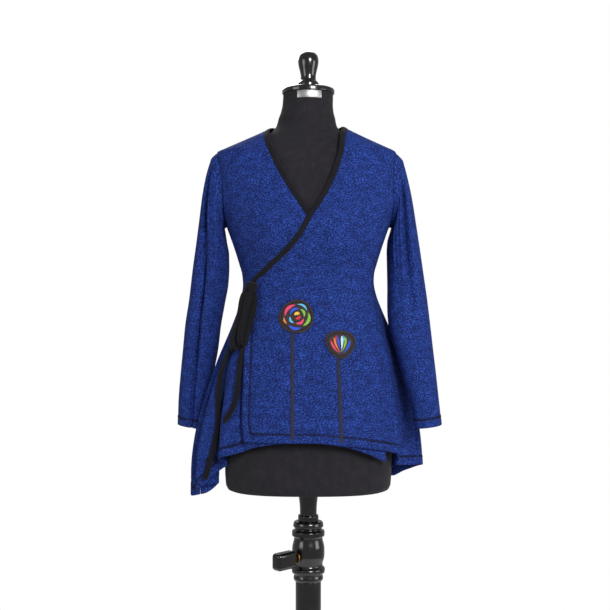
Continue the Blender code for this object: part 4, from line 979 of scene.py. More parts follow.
@dataclass
class FrontPanel:
    """One front, from its wrap edge to its armhole and side seam."""

    side: Side
    neck_edge: Sequence[EdgePoint]
    free_edge: Sequence[EdgePoint]
    hem: SmoothTable
    creases: Sequence[Crease]
    cloth: ClothPiece
    binding: ClothPiece
    columns: int = 188
    steps: int = 7

    def __post_init__(self) -> None:
        """Finds the panel's edges at rows and between them."""
        self.turned = self.side.value
        self.rows = np.arange(PANEL_ROWS * self.steps + 1) / self.steps
        self.hem_z = float(self.hem(math.degrees(self.turned * math.pi / 2)))
        self.upper = path_through(self.neck_edge)
        self.lower = path_through([*self.neck_edge[-1:], *self.free_edge])

    def wrap_edge(self, row: Array) -> Line:
        """Angles and heights of the neck edge and the free edge below it.

        Args:
            row: rows, which need not be whole.

        Returns:
            Angles and heights.
        """
        above, below = row / WAIST_ROW, (row - WAIST_ROW) / (PANEL_ROWS - WAIST_ROW)
        x = np.where(row <= WAIST_ROW, self.upper[0](above), self.lower[0](below))
        z = np.where(row <= WAIST_ROW, self.upper[1](above), self.lower[1](below))
        angle = angle_at(x, z)
        top = self.turned * (math.pi / 2 - seam_turn(NECK_POINT_Z))
        first = angle_at(self.upper[0](0.0), NECK_POINT_Z)
        return angle + (top - first) * np.clip(1.0 - row, 0.0, 1.0) ** 2, z

    def place(self, across: Array, row: Array) -> Line:
        """Angles and heights at shares of the way across rows.

        Args:
            across: shares of the way from the wrap edge to the side.
            row: rows, which need not be whole.

        Returns:
            Angles and heights.
        """
        (angle, z), (foot_angle, foot_z) = (
            part_way(self.wrap_edge(rows), side_edge(rows, self.turned, True, self.hem_z), across)
            for rows in (row, np.full_like(row, PANEL_ROWS)))
        return angle, z + (row / PANEL_ROWS) ** 3 * (self.hem(np.degrees(foot_angle)) - foot_z)

    def lift(self, angle: Array) -> Array:
        """How far this front lies out over the other one.

        Args:
            angle: angles round the pole, in radians.

        Returns:
            The lift, in metres.
        """
        if self.side is Side.RIGHT:
            return np.zeros_like(angle)
        return (LAYER_GAP + WALL) * (1.0 - np.clip((np.degrees(angle) - LIFT_START) / LIFT_SPAN, 0.0, 1.0))

    def relief(self, angle: Array, z: Array) -> Array:
        """How far the panel's creases stand out."""
        return crease_relief(self.creases, angle, z)

    def outer(self, angle: Array, z: Array, out: Array | float) -> Array:
        """Points moved out of this front's own surface."""
        return cloth_point(angle, z, self.lift(angle) + self.relief(angle, z) + out)

    def band_share(self, row: Array, width: float) -> Array:
        """The share of a row that a band of some width along the free edge takes.

        Args:
            row: rows, which need not be whole.
            width: the width, in metres.

        Returns:
            The shares.
        """
        probe = 0.08
        here = surface_point(*self.place(np.zeros_like(row), row))
        inward = surface_point(*self.place(np.full_like(row, probe), row)) - here
        run = unit(np.gradient(here, axis=0))
        length = np.linalg.norm(inward, axis=-1)
        slant = np.maximum(np.linalg.norm(np.cross(inward / length[..., None], run), axis=-1), 0.45)
        return probe * width / slant / length

    def wall(self) -> Piece:
        """The panel itself, with its hem, seams and creases.

        Returns:
            The piece.
        """
        start = self.band_share(self.rows, BAND_SHOWN + SEAM_GAP) * (self.rows <= BAND_LAST_ROW)
        dense = 1.0 - (1.0 - np.linspace(0.0, 1.0, self.columns + 1)) ** 1.15
        share = start[:, None] + (1.0 - start[:, None]) * dense[None, :]
        row = np.broadcast_to(self.rows[:, None], share.shape)
        angle, z = self.place(share, row)
        flat = surface_point(angle, z)
        free = edge_distance(flat, flat[int((WAIST_ROW + 1.2) * self.steps):, 0])
        hem = edge_distance(flat, flat[-1])
        sewn = edge_distance(flat, flat[:, -1])
        bound = edge_distance(flat, flat[:WAIST_ROW * self.steps, 0])
        along = angle * BODY_RADIUS + z
        out = hem_relief(np.minimum(free, hem), along) + seam_relief(sewn)
        if self.side is Side.LEFT:
            lip = LIP_HEIGHT * bump(free - LIP_PLACE, LIP_WIDTH) * smooth_step(hem / 0.02)
            out = out + lip + LIP_FOOT * bump(hem, LIP_FOOT_WIDTH)
        pucker = 0.00018 * np.sin(along / 0.0062) * bump(bound - 0.004, 0.004)
        out = out - 0.0005 * bump(bound, 0.0018) + pucker
        run = lengths(flat, 1)
        uv = np.stack((run - run[:, -1:], knit_rise(angle, z)), axis=-1)
        outer, inner = self.outer(angle, z, out), self.outer(angle, z, out - WALL)
        return shell(self.cloth.piece_name, outer, inner, uv)

    def band(self) -> Piece:
        """The binding along the neck edge: cloth folded round the edge, a little proud of the panel.

        Returns:
            The piece.
        """
        row = self.rows[self.rows <= BAND_LAST_ROW]
        share = self.band_share(row, BAND_SHOWN)
        part = np.linspace(0.0, 1.0, 9)
        rows = np.broadcast_to(row[:, None], (len(row), len(part)))
        angle, z = self.place(share[:, None] * part[None, :], rows)
        return binding_wall(self.binding.piece_name, lambda out: self.outer(angle, z, out), part,
                            surface_point(angle, z))

    def stitch_lines(self) -> list[Array]:
        """Lines of angle, height and lift on which the free edge and the hem are stitched down.

        Returns:
            The lines.
        """
        count = 900
        row = np.linspace(WAIST_ROW + 1.0, PANEL_ROWS, count)
        edge = self.wrap_edge(row)
        share = np.linspace(0.0, 1.0, count)
        foot = self.place(share, np.full_like(share, PANEL_ROWS))
        free = inset(*edge, HEM_DEPTH * self.turned)
        hem = inset(*foot, HEM_DEPTH * self.turned)
        free_points, hem_points = surface_point(*free), surface_point(*hem)
        lines = []
        if self.side is Side.LEFT:
            keep = edge_distance(free_points, surface_point(*foot)) > HEM_DEPTH - 0.0004
            lines.append(np.stack((free[0][keep], free[1][keep]), axis=-1))
        keep = edge_distance(hem_points, surface_point(*edge)) > HEM_DEPTH - 0.0004
        seam = surface_point(*side_edge(row, self.turned, True, self.hem_z))
        keep &= edge_distance(hem_points, seam) > STITCH_ROOM
        lines.append(np.stack((hem[0][keep], hem[1][keep]), axis=-1))
        return lines


def binding_wall(name: str, point: Callable[[Array], Array], part: Array, flat: Array) -> Piece:
    """A folded binding of soft jersey over an edge.

    Args:
        name: the piece's name.
        point: gives the grid's points moved out by an array.
        part: the columns as shares of the width.
        flat: the grid on the cloth's surface.

    Returns:
        The object.
    """
    along, across = lengths(flat, 0), lengths(flat, 1)
    crown = BAND_CROWN * (0.35 + 0.65 * np.sin(math.pi * part) ** 0.55)[None, :]
    ripple = 0.00010 * np.sin(along / 0.0034) * np.sin(math.pi * part)[None, :]
    ripple = ripple - 0.00045 * bump((part[None, :] - 0.82) * BAND_SHOWN, 0.0009)
    uv = np.stack((along, across), axis=-1)
    return shell(name, point(crown + ripple), point(np.full_like(along, -WALL)), uv, bulge=0.0005)


@dataclass
class BackPanel:
    """The back, whose columns run round from the wearer's left side to the right."""

    creases: Sequence[Crease]
    cloth: ClothPiece
    binding: ClothPiece
    columns: int = 208
    steps: int = 7

    def __post_init__(self) -> None:
        """Finds where the side seams end."""
        self.left_hem, self.right_hem = float(OVER_HEM_AT(90.0)), float(HEM_AT(-90.0))
        self.rows = np.arange(PANEL_ROWS * self.steps + 1) / self.steps

    def side_line(self, row: Array, side: Side) -> Line:
        """Angles and heights of one side of the back, round from the left.

        Args:
            row: rows, which need not be whole.
            side: the wearer's side.

        Returns:
            Angles and heights.
        """
        if side is Side.LEFT:
            return side_edge(row, 1.0, False, self.left_hem)
        angle, z = side_edge(row, -1.0, False, self.right_hem)
        return angle + 2 * math.pi, z

    def neck_edge(self, share: Array, width: Array | float) -> Line:
        """Angles and heights on the back neck, moved down the panel by a width.

        Args:
            share: shares of the way along.
            width: how far below the edge, in metres.

        Returns:
            Angles and heights.
        """
        start = math.pi / 2 + seam_turn(NECK_POINT_Z)
        angle = start + (2 * math.pi - 2 * start) * share
        z = NECK_POINT_Z + BACK_NECK_RISE * np.sin(math.pi * share) ** 2
        top = surface_point(angle, z)
        low, _ = halved(np.zeros_like(z), np.full_like(z, 2 * BAND_WIDTH), lambda middle: np.linalg.norm(
            surface_point(angle, z - middle) - top, axis=-1) < width, 30)
        return angle, z - low

    def top(self, number: Array) -> Line:
        """Angles and heights of the top edge: shoulder, neck, shoulder.

        Args:
            number: columns, which need not be whole.

        Returns:
            Angles and heights.
        """
        shoulder = (BACK_COLUMNS - NECK_COLUMNS) // 2
        lowered = BAND_SHOWN + SEAM_GAP
        neck = self.neck_edge(np.clip((number - shoulder) / NECK_COLUMNS, 0.0, 1.0), lowered)
        share = np.clip(np.minimum(number, BACK_COLUMNS - number) / shoulder, 0.0, 1.0)
        zero = np.zeros_like(number)
        tips = zip(self.side_line(zero, Side.LEFT), self.side_line(zero, Side.RIGHT))
        angle, z = (np.where(number < BACK_COLUMNS / 2, left, right) for left, right in tips)
        return part_way((angle, z), neck, share)

    def place(self, number: Array, row: Array) -> Line:
        """Angles and heights at columns and rows.

        Args:
            number: columns, which need not be whole.
            row: rows, which need not be whole.

        Returns:
            Angles and heights.
        """
        share, down = number / BACK_COLUMNS, row / PANEL_ROWS
        dense = share - 0.55 * np.sin(2 * math.pi * share) / (2 * math.pi)
        (angle, z), (first_angle, first_z), (foot_angle, foot_z) = (
            part_way(self.side_line(rows, Side.LEFT), self.side_line(rows, Side.RIGHT), dense)
            for rows in (row, np.zeros_like(row), np.full_like(row, PANEL_ROWS)))
        foot_turn = np.degrees(foot_angle)
        hem_z = HEM_AT(np.where(foot_turn <= 180.0, foot_turn, foot_turn - 360.0))
        top, fade = self.top(number), (1.0 - down) ** 2
        angle, z = angle + fade * (top[0] - first_angle), z + fade * (top[1] - first_z)
        return angle, z + down ** 3 * (hem_z - foot_z)

    def outer(self, angle: Array, z: Array, out: Array | float) -> Array:
        """Points moved out of the back's own surface."""
        return cloth_point(angle, z, crease_relief(self.creases, angle, z) + out)

    def wall(self) -> Piece:
        """The panel itself, with its hem, seams and creases.

        Returns:
            The piece.
        """
        number = np.linspace(BACK_COLUMNS, 0.0, self.columns + 1)
        number, row = np.meshgrid(number, self.rows)
        angle, z = self.place(number, row)
        flat = surface_point(angle, z)
        sewn = np.minimum(edge_distance(flat, flat[:, 0]), edge_distance(flat, flat[:, -1]))
        top = edge_distance(flat, flat[0])
        hem = edge_distance(flat, flat[-1])
        out = hem_relief(hem, angle * BODY_RADIUS) + seam_relief(np.minimum(sewn, top))
        run = lengths(flat, 1)
        uv = np.stack((run - run[:, self.columns // 2, None], knit_rise(angle, z)), axis=-1)
        return shell(self.cloth.piece_name, self.outer(angle, z, out), self.outer(angle, z, out - WALL), uv)

    def band(self) -> Piece:
        """The binding of the back neck.

        Returns:
            The piece.
        """
        share, part = np.linspace(0.0, 1.0, 61), np.linspace(0.0, 1.0, 9)
        share, width = np.meshgrid(share, part * BAND_SHOWN, indexing="ij")
        angle, z = self.neck_edge(share, width)
        taper = 0.3 + 0.7 * np.sin(math.pi * share) ** 0.4
        return binding_wall(self.binding.piece_name, lambda out: self.outer(angle, z, out * taper), part,
                            surface_point(angle, z))

    def stitch_lines(self) -> list[Array]:
        """The line of angle and height on which the hem is stitched down.

        Returns:
            One line.
        """
        number = np.linspace(0.0, BACK_COLUMNS, 2400)
        foot = self.place(number, np.full_like(number, PANEL_ROWS))
        line = inset(*foot, HEM_DEPTH)
        points = surface_point(*line)
        row = np.linspace(WAIST_ROW + 1.0, PANEL_ROWS, 900)
        keep = np.full(len(number), True)
        for side in Side:
            keep &= edge_distance(points, surface_point(*self.side_line(row, side))) > STITCH_ROOM
        return [np.stack((line[0][keep], line[1][keep]), axis=-1)]


@dataclass
class Sleeve:
    """A long set-in sleeve from the armhole to the cuff."""

    side: Side
    cuffs: Sequence[Cuff]
    folds: Sequence[SleeveFold]
    creases: Sequence[Crease]
    cloth: ClothPiece
    sides: int = 164
    rows: int = 176

    def __post_init__(self) -> None:
        """Makes smooth curves of the table's columns."""
        steps = range(1, len(self.cuffs) + 1)
        self.curves = {name: SmoothTable(steps, [getattr(cuff, name) for cuff in self.cuffs])
                       for name in Cuff._fields}

    def section(self, step: Array, turn: Array, out: Array | float) -> Array:
        """Points of the sleeve at steps down the table and turns round it.

        Args:
            step: steps down the sleeve's table.
            turn: turns round the sleeve.
            out: how far out of the cloth.

        Returns:
            The points.
        """
        read = {name: curve(step) for name, curve in self.curves.items()}
        outer = np.stack((read["outer_x"], read["middle_y"], read["outer_z"]), axis=-1)
        inner = np.stack((read["inner_x"], read["middle_y"], read["inner_z"]), axis=-1)
        centre, reach = (outer + inner) / 2, (outer - inner) / 2
        share = (step - 1.0) / (len(self.cuffs) - 1)
        out = out + crease_relief(self.creases, turn, share, SLEEVE_RADIUS, SLEEVE_LENGTH)
        for fold in self.folds:
            part = np.clip((share - fold.start) / (fold.end - fold.start), 0.0, 1.0)
            beside = bump(turn_between(turn, fold.angle), fold.half_angle)
            out = out - fold.depth * np.sin(math.pi * part) ** 0.6 * beside
        rim = np.zeros_like(centre)
        rim[..., 1] = -signed_power(np.sin(turn), 2 / SLEEVE_ROUNDNESS) * (read["half_depth"] + out)
        arm = 1.0 + out / np.linalg.norm(reach, axis=-1)
        return centre + reach * (arm * signed_power(np.cos(turn), 2 / SLEEVE_ROUNDNESS))[..., None] + rim

    def first(self, turn: Array, out: Array | float) -> Array:
        """Points of the ring that is sewn to the armhole.

        Args:
            turn: 0 at the shoulder tip and pi at the armpit.
            out: how far out of the cloth.

        Returns:
            The points.
        """
        under = (1.0 - np.cos(turn)) / 2
        angle, z = armhole(turn, self.side.value, out * under)
        return cloth_point(angle, z, out * (1.0 - under) + UNDERARM_STEP * under)

    def point(self, step: Array, turn: Array, out: Array | float) -> Array:
        """Points of the whole sleeve, where step 0 is the armhole.

        Args:
            step: steps down the sleeve's table.
            turn: turns round the sleeve.
            out: how far out of the cloth.

        Returns:
            The points.
        """
        body = self.section(np.maximum(step, 1.0), turn, out)
        one = np.ones_like(step)
        end, after = self.section(one, turn, out), self.section(one * 1.02, turn, out)
        start = self.first(turn, np.asarray(out) * np.ones_like(step))
        t = np.clip(step, 0.0, 1.0)[..., None]
        blend = (2 * t ** 3 - 3 * t * t + 1) * start + (3 * t * t - 2 * t ** 3) * end
        blend = blend + (t ** 3 - 2 * t * t + t) * (end - start) * 1.1
        blend = blend + (t ** 3 - t * t) * (after - end) / 0.02 * 0.5
        return np.where(t < 1.0, blend, body)

    def wall(self) -> Piece:
        """The sleeve itself, with its seams, folds and turned-up cuff.

        Returns:
            The piece.
        """
        near = np.linspace(0.0, 1.0, 9)[:-1]
        step = np.concatenate((near, np.linspace(1.0, len(self.cuffs), self.rows - 8)))
        turn, step = np.meshgrid(full_turn(self.sides), step)
        flat = self.point(step, turn, np.zeros_like(step))
        around = np.linspace(0.0, 1.0, self.sides + 1) * SLEEVE_ROUND
        along = lengths(flat, 0)
        out = hem_relief(along[-1:] - along, turn * CUFF_RADIUS) + seam_relief(along) * 0.8
        out = out - 0.0004 * bump((turn - math.pi) * CUFF_RADIUS, 0.0018)
        uv = np.stack(np.broadcast_arrays(around[None, :], along.mean(axis=1)[:, None]), axis=-1)
        outer, inner = self.point(step, turn, out), self.point(step, turn, out - WALL)
        return shell(self.cloth.piece_name, outer, inner, uv, tube=True)

    def cuff_line(self, distance: float) -> Line:
        """Points and outward normals of a line round the sleeve, some way above its cuff.

        Args:
            distance: how far above the cuff, in metres.

        Returns:
            Points and normals.
        """
        turn = np.linspace(0.0, 2 * math.pi, 600)
        low, high = np.full_like(turn, len(self.cuffs) - 1.5), np.full_like(turn, float(len(self.cuffs)))
        foot = self.point(high, turn, 0.0)
        low, _ = halved(low, high, lambda middle: np.linalg.norm(
            self.point(middle, turn, 0.0) - foot, axis=-1) > distance, 26)
        points = self.point(low, turn, 0.0002)
        return points, unit(self.point(low, turn, 0.002) - self.point(low, turn, 0.0))


def threads(name: str, starts: Array, ends: Array, outward: Array, radius: float, arch: float) -> Piece:
    """Short lengths of sewing thread as one object, their ends sunk into the cloth.

    Args:
        name: the piece's name.
        starts: where each thread starts.
        ends: where each ends.
        outward: the cloth's normal there.
        radius: half the thread's thickness.
        arch: how far the middle rises.

    Returns:
        The object.
    """
    run = unit(ends - starts)
    side = unit(np.cross(run, outward))
    up = np.cross(side, run)
    rings = []
    for part, lift in THREAD_RINGS:
        middle = starts + (ends - starts) * part + outward * arch * lift
        for turn in range(4):
            swing = math.pi / 4 + turn * math.pi / 2
            rings.append(middle + (side * math.cos(swing) + up * math.sin(swing)) * radius)
    tips = [starts - outward * radius * 1.5, ends - outward * radius * 1.5]
    verts = np.stack(rings + tips, axis=1)
    count, per = verts.shape[:2]
    faces = []
    for i in range(4):
        j = (i + 1) % 4
        faces += [(i, j, 4 + j, 4 + i), (4 + i, 4 + j, 8 + j, 8 + i)]
        faces += [(j, i, 12, 12), (8 + i, 8 + j, 13, 13)]
    every = (np.arange(count) * per)[:, None, None] + np.array(faces)[None]
    listed = [tuple(face[:3]) if face[2] == face[3] else tuple(face)
              for face in every.reshape(-1, 4).tolist()]
    return put_mesh(name, verts.reshape(-1, 3), listed)


@dataclass
class CoverStitch:
    """Flat cover stitches: two rows of dark thread joined by slanted threads."""

    finish: Finish
    pitch: float = 0.0021
    width: float = 0.0046
    radius: float = 0.00030
    arch: float = 0.00018
    lift: float = 0.00028
    thread_span: Pair = (0.06, 0.94)

    def between(self, name: str, rails: Sequence[tuple[Array, Array, Array]]) -> Piece:
        """Stitches along pairs of rails.

        Args:
            name: the piece's name.
            rails: for each run, the points of both its rows and the normals.

        Returns:
            The object.
        """
        starts, ends, outward = [], [], []
        for left, right, normal in rails:
            middle = (left + right) / 2
            along = lengths(middle, 0)
            count = max(int(along[-1] / self.pitch), 2)

            def at(line: Array, shift: float) -> Array:
                """A line's points at every stitch, shifted by part of a stitch."""
                places = (np.arange(count) + shift) * along[-1] / count
                return np.stack([np.interp(places, along, line[:, axis]) for axis in range(3)], axis=-1)

            up = at(normal, 0.5)
            lift = up * self.lift
            for row, shift in ((left, 0.0), (right, 0.5)):
                starts.append(at(row, shift + self.thread_span[0]) + lift * 0.4)
                ends.append(at(row, shift + self.thread_span[1]) + lift * 0.4)
            starts += [at(left, 0.0) + lift, at(right, 0.5) + lift]
            ends += [at(right, 0.5) + lift, at(left, 1.0) + lift]
            outward += [up] * 4
        runs = (np.concatenate(part) for part in (starts, ends, outward))
        return dress(threads(name, *runs, self.radius, self.arch), self.finish)

    def on_panel(self, name: str, panel: FrontPanel | BackPanel) -> Piece:
        """The stitches of a panel's hem and free edge.

        Args:
            name: the piece's name.
            panel: a front or the back.

        Returns:
            The piece.
        """
        rails = []
        for line in panel.stitch_lines():
            rows = []
            for offset in (-self.width / 2, self.width / 2):
                angle, z = inset(line[:, 0], line[:, 1], offset)
                rows.append(panel.outer(angle, z, np.full_like(z, 0.00005)))
            rails.append((rows[0], rows[1], surface_normal(line[:, 0], line[:, 1])))
        return self.between(name, rails)

    def on_cuff(self, name: str, sleeve: Sleeve) -> Piece:
        """The stitches round a cuff.

        Args:
            name: the piece's name.
            sleeve: the sleeve.

        Returns:
            The piece.
        """
        low, normal = sleeve.cuff_line(HEM_DEPTH - self.width / 2)
        high, _ = sleeve.cuff_line(HEM_DEPTH + self.width / 2)
        return self.between(name, [(low, high, normal)])


def smooth_route(points: Array, per_step: int) -> Array:
    """Points along a smooth curve through a route's own points.

    Args:
        points: the route's points.
        per_step: how many to make for each of them.

    Returns:
        The points.
    """
    line = np.concatenate((2 * points[:1] - points[1:2], points, 2 * points[-1:] - points[-2:-1]))
    a, b, c, d = line[:-3], line[1:-2], line[2:-1], line[3:]
    parts = [0.5 * (2 * b + (c - a) * t + (2 * a - 5 * b + 4 * c - d) * t * t
                    + (3 * b - a - 3 * c + d) * t ** 3) for t in (i / per_step for i in range(per_step))]
    return np.concatenate((np.stack(parts, axis=1).reshape(-1, 3), points[-1:]))


def route_place(points: Sequence[RoutePoint]) -> Line:
    """Where a route's points lie, out of the front that is worn over, and the level normals there.

    Args:
        points: the route's points, as seen from the front.

    Returns:
        Points and level normals.
    """
    x, z, out = (np.array([getattr(point, name) for point in points]) for name in ("x", "z", "out"))
    base = x.copy()
    for _ in range(12):
        angle = angle_at(base, z)
        place = cloth_point(angle, z, out + LAYER_GAP + WALL)
        base = base + 0.6 * (x - place[:, 0])
    normal = surface_normal(angle, z)
    normal[:, 2] = 0.0
    return place, unit(normal)


@dataclass
class TieStrip:
    """One soft strip of the tie: a tube of jersey pressed flat, with rolled sides."""

    route: Sequence[RoutePoint]
    cloth: ClothPiece
    width: float
    both_ends: bool = False
    sway: float = 0.0
    end_length: float = 0.004
    end_narrowing: float = 0.22
    per_step: int = 12
    around: int = 28

    def build(self) -> Piece:
        """Sweeps the strip's section along its route.

        Returns:
            The piece.
        """
        places, normals = route_place(self.route)
        line = smooth_route(places, self.per_step)
        facing = unit(smooth_route(unit(normals + np.array(TIE_FACE)), self.per_step))
        along = lengths(line, 0)
        ahead = unit(np.gradient(line, axis=0))
        side = np.stack((-facing[:, 1], facing[:, 0], np.zeros(len(facing))), axis=-1)
        side = unit(side - ahead * (side * ahead).sum(-1, keepdims=True))
        face = unit(np.cross(ahead, side))
        reach = np.minimum(along, along[-1] - along) if self.both_ends else along
        share = smooth_step(reach / TIE_TAPER)
        ripple = 1.0 + 0.05 * np.sin(along / 0.021 + self.sway)
        ripple = ripple + 0.03 * np.sin(along / 0.0083 + 2 * self.sway)
        half = (TIE_KNOT_WIDTH + (self.width - TIE_KNOT_WIDTH) * share) / 2 * ripple
        if not self.both_ends:
            end = smooth_step((along - along[-1] + self.end_length) / self.end_length)
            half = half * (1.0 - self.end_narrowing * end)
        turn = full_turn(self.around)
        a = signed_power(np.cos(turn), 0.8)
        rolled = 0.86 + 0.34 * bump(np.abs(a) - 0.66, 0.26)
        b = signed_power(np.sin(turn), 0.7) * rolled
        gather = 0.10 * np.sin(3 * turn + 1.0 + self.sway)[None, :] * (1 - share[:, None])
        gather = gather + 0.05 * np.sin(along / 0.013 + self.sway)[:, None] * np.sin(2 * turn)[None, :]
        thick = TIE_THICKNESS / 2 * (1.0 + 0.12 * np.sin(along / 0.017 + self.sway + 1.0))[:, None]
        grid = (line[:, None] + side[:, None] * (half[:, None] * a)[..., None]
                + face[:, None] * (thick * (b + gather * np.abs(b)))[..., None])
        return tube_object(self.cloth.piece_name, grid, along)


def tube_object(name: str, grid: Array, along: Array) -> Piece:
    """A closed soft tube of rings with drawn-in ends, and coordinates along it in metres.

    Args:
        name: the piece's name.
        grid: rings of points, one to a row.
        along: how far along each ring lies, in metres.

    Returns:
        The piece.
    """
    rows, sides = grid.shape[:2]
    caps = []
    for ring, after in ((grid[0], grid[1]), (grid[-1], grid[-2])):
        middle = ring.mean(axis=0)
        away = unit(middle - after.mean(axis=0))
        caps.append((middle + (ring - middle) * CAP_SHARE + away * CAP_STEP, middle + away * CAP_TIP))
    verts = np.concatenate((caps[0][0][None], grid, caps[1][0][None])).reshape(-1, 3)
    verts = np.concatenate((verts, [caps[0][1], caps[1][1]]))
    rows += 2
    index = np.arange(rows * sides).reshape(rows, sides)
    index = np.concatenate((index, index[:, :1]), axis=1)
    cells = np.stack((index[:-1, :-1], index[:-1, 1:], index[1:, 1:], index[1:, :-1]), axis=2)
    faces = cells.reshape(-1, 4).tolist()
    ends = len(verts) - 2
    faces += [(index[0, j + 1], index[0, j], ends) for j in range(sides)]
    faces += [(index[-1, j], index[-1, j + 1], ends + 1) for j in range(sides)]
    made = put_mesh(name, verts, faces)
    around = lengths(verts[index], 1)
    length = np.concatenate((along[:1] - 0.001, along, along[-1:] + 0.001))
    place = {int(index[i, j]): (around[i, j], length[i]) for i in range(rows) for j in range(sides)}
    wrap = around[:, -1]
    layer = made.data.uv_layers.new(name="cloth")
    for polygon in made.data.polygons:
        corners = [made.data.loops[k].vertex_index for k in polygon.loop_indices]
        spots = [place.get(v, (0.0, length[0] if v == ends else length[-1])) for v in corners]
        if max(spot[0] for spot in spots) - min(spot[0] for spot in spots) > wrap.max() / 2:
            spots = [(spot[0] + (wrap.max() if spot[0] == 0.0 else 0.0), spot[1]) for spot in spots]
        for k, spot in zip(polygon.loop_indices, spots):
            layer.data[k].uv = spot
    return made


@dataclass
class Knot:
    """The tie's knot: soft folds gathered under one wrapped turn."""

    cloth: ClothPiece
    columns: int = 96
    rows: int = 64

    def build(self) -> Piece:
        """Shapes the knot from a soft lump, with a wrapped band and pinched folds.

        Returns:
            The piece.
        """
        place, _ = route_place([KNOT])
        turn, tilt = np.meshgrid(full_turn(self.columns), np.linspace(0.06, math.pi - 0.06, self.rows))
        ball = np.stack((np.sin(tilt) * np.cos(turn), np.sin(tilt) * np.sin(turn), np.cos(tilt)), axis=-1)
        soft = signed_power(ball, 0.78)
        x, y, z = soft[..., 0], soft[..., 1], soft[..., 2]
        slant = x * 0.86 + z * 0.30
        wrapped = 0.12 * (smooth_step((0.52 - np.abs(slant)) / 0.16) - 0.5)
        folds = 0.045 * np.sin(9.0 * slant + 1.4) + 0.05 * np.sin(7.0 * z - 4.0 * x * np.abs(x) + 0.6)
        folds = folds * (1.0 - 0.4 * smooth_step((0.45 - np.abs(slant)) / 0.2))
        pinch = 1.0 - 0.10 * bump(slant - 0.58, 0.10) - 0.10 * bump(slant + 0.58, 0.10)
        body = soft * ((1.0 + wrapped + folds) * pinch * 0.97)[..., None] * np.array(KNOT_HALF)
        swing = math.atan2(TIE_FACE[0], -TIE_FACE[1])
        cosine, sine = math.cos(swing), math.sin(swing)
        grid = np.stack((body[..., 0] * cosine - body[..., 1] * sine,
                         body[..., 0] * sine + body[..., 1] * cosine, body[..., 2]), axis=-1)
        return tube_object(self.cloth.piece_name, grid + place[0], np.linspace(0.0, 0.030, self.rows))


@dataclass(frozen=True)
class Petal:
    """A padded petal along a bowed line, in shares of the flower's half size."""

    start: Pair
    end: Pair
    bow: float
    width: float
    colour: str
    lean: float = 0.5


def round_outline(turn: Array) -> Line:
    """The round flower's edge as shares of its half size."""
    reach = 1.0 + 0.018 * np.sin(3 * turn + 0.6)
    return reach * np.sin(turn), reach * np.cos(turn)


def tulip_outline(turn: Array) -> Line:
    """The tulip's edge: broad above, drawn to a point below."""
    across = np.sin(turn) * (1.0 + 0.34 * np.cos(turn)) / 1.06
    return across, signed_power(np.cos(turn), 0.92)


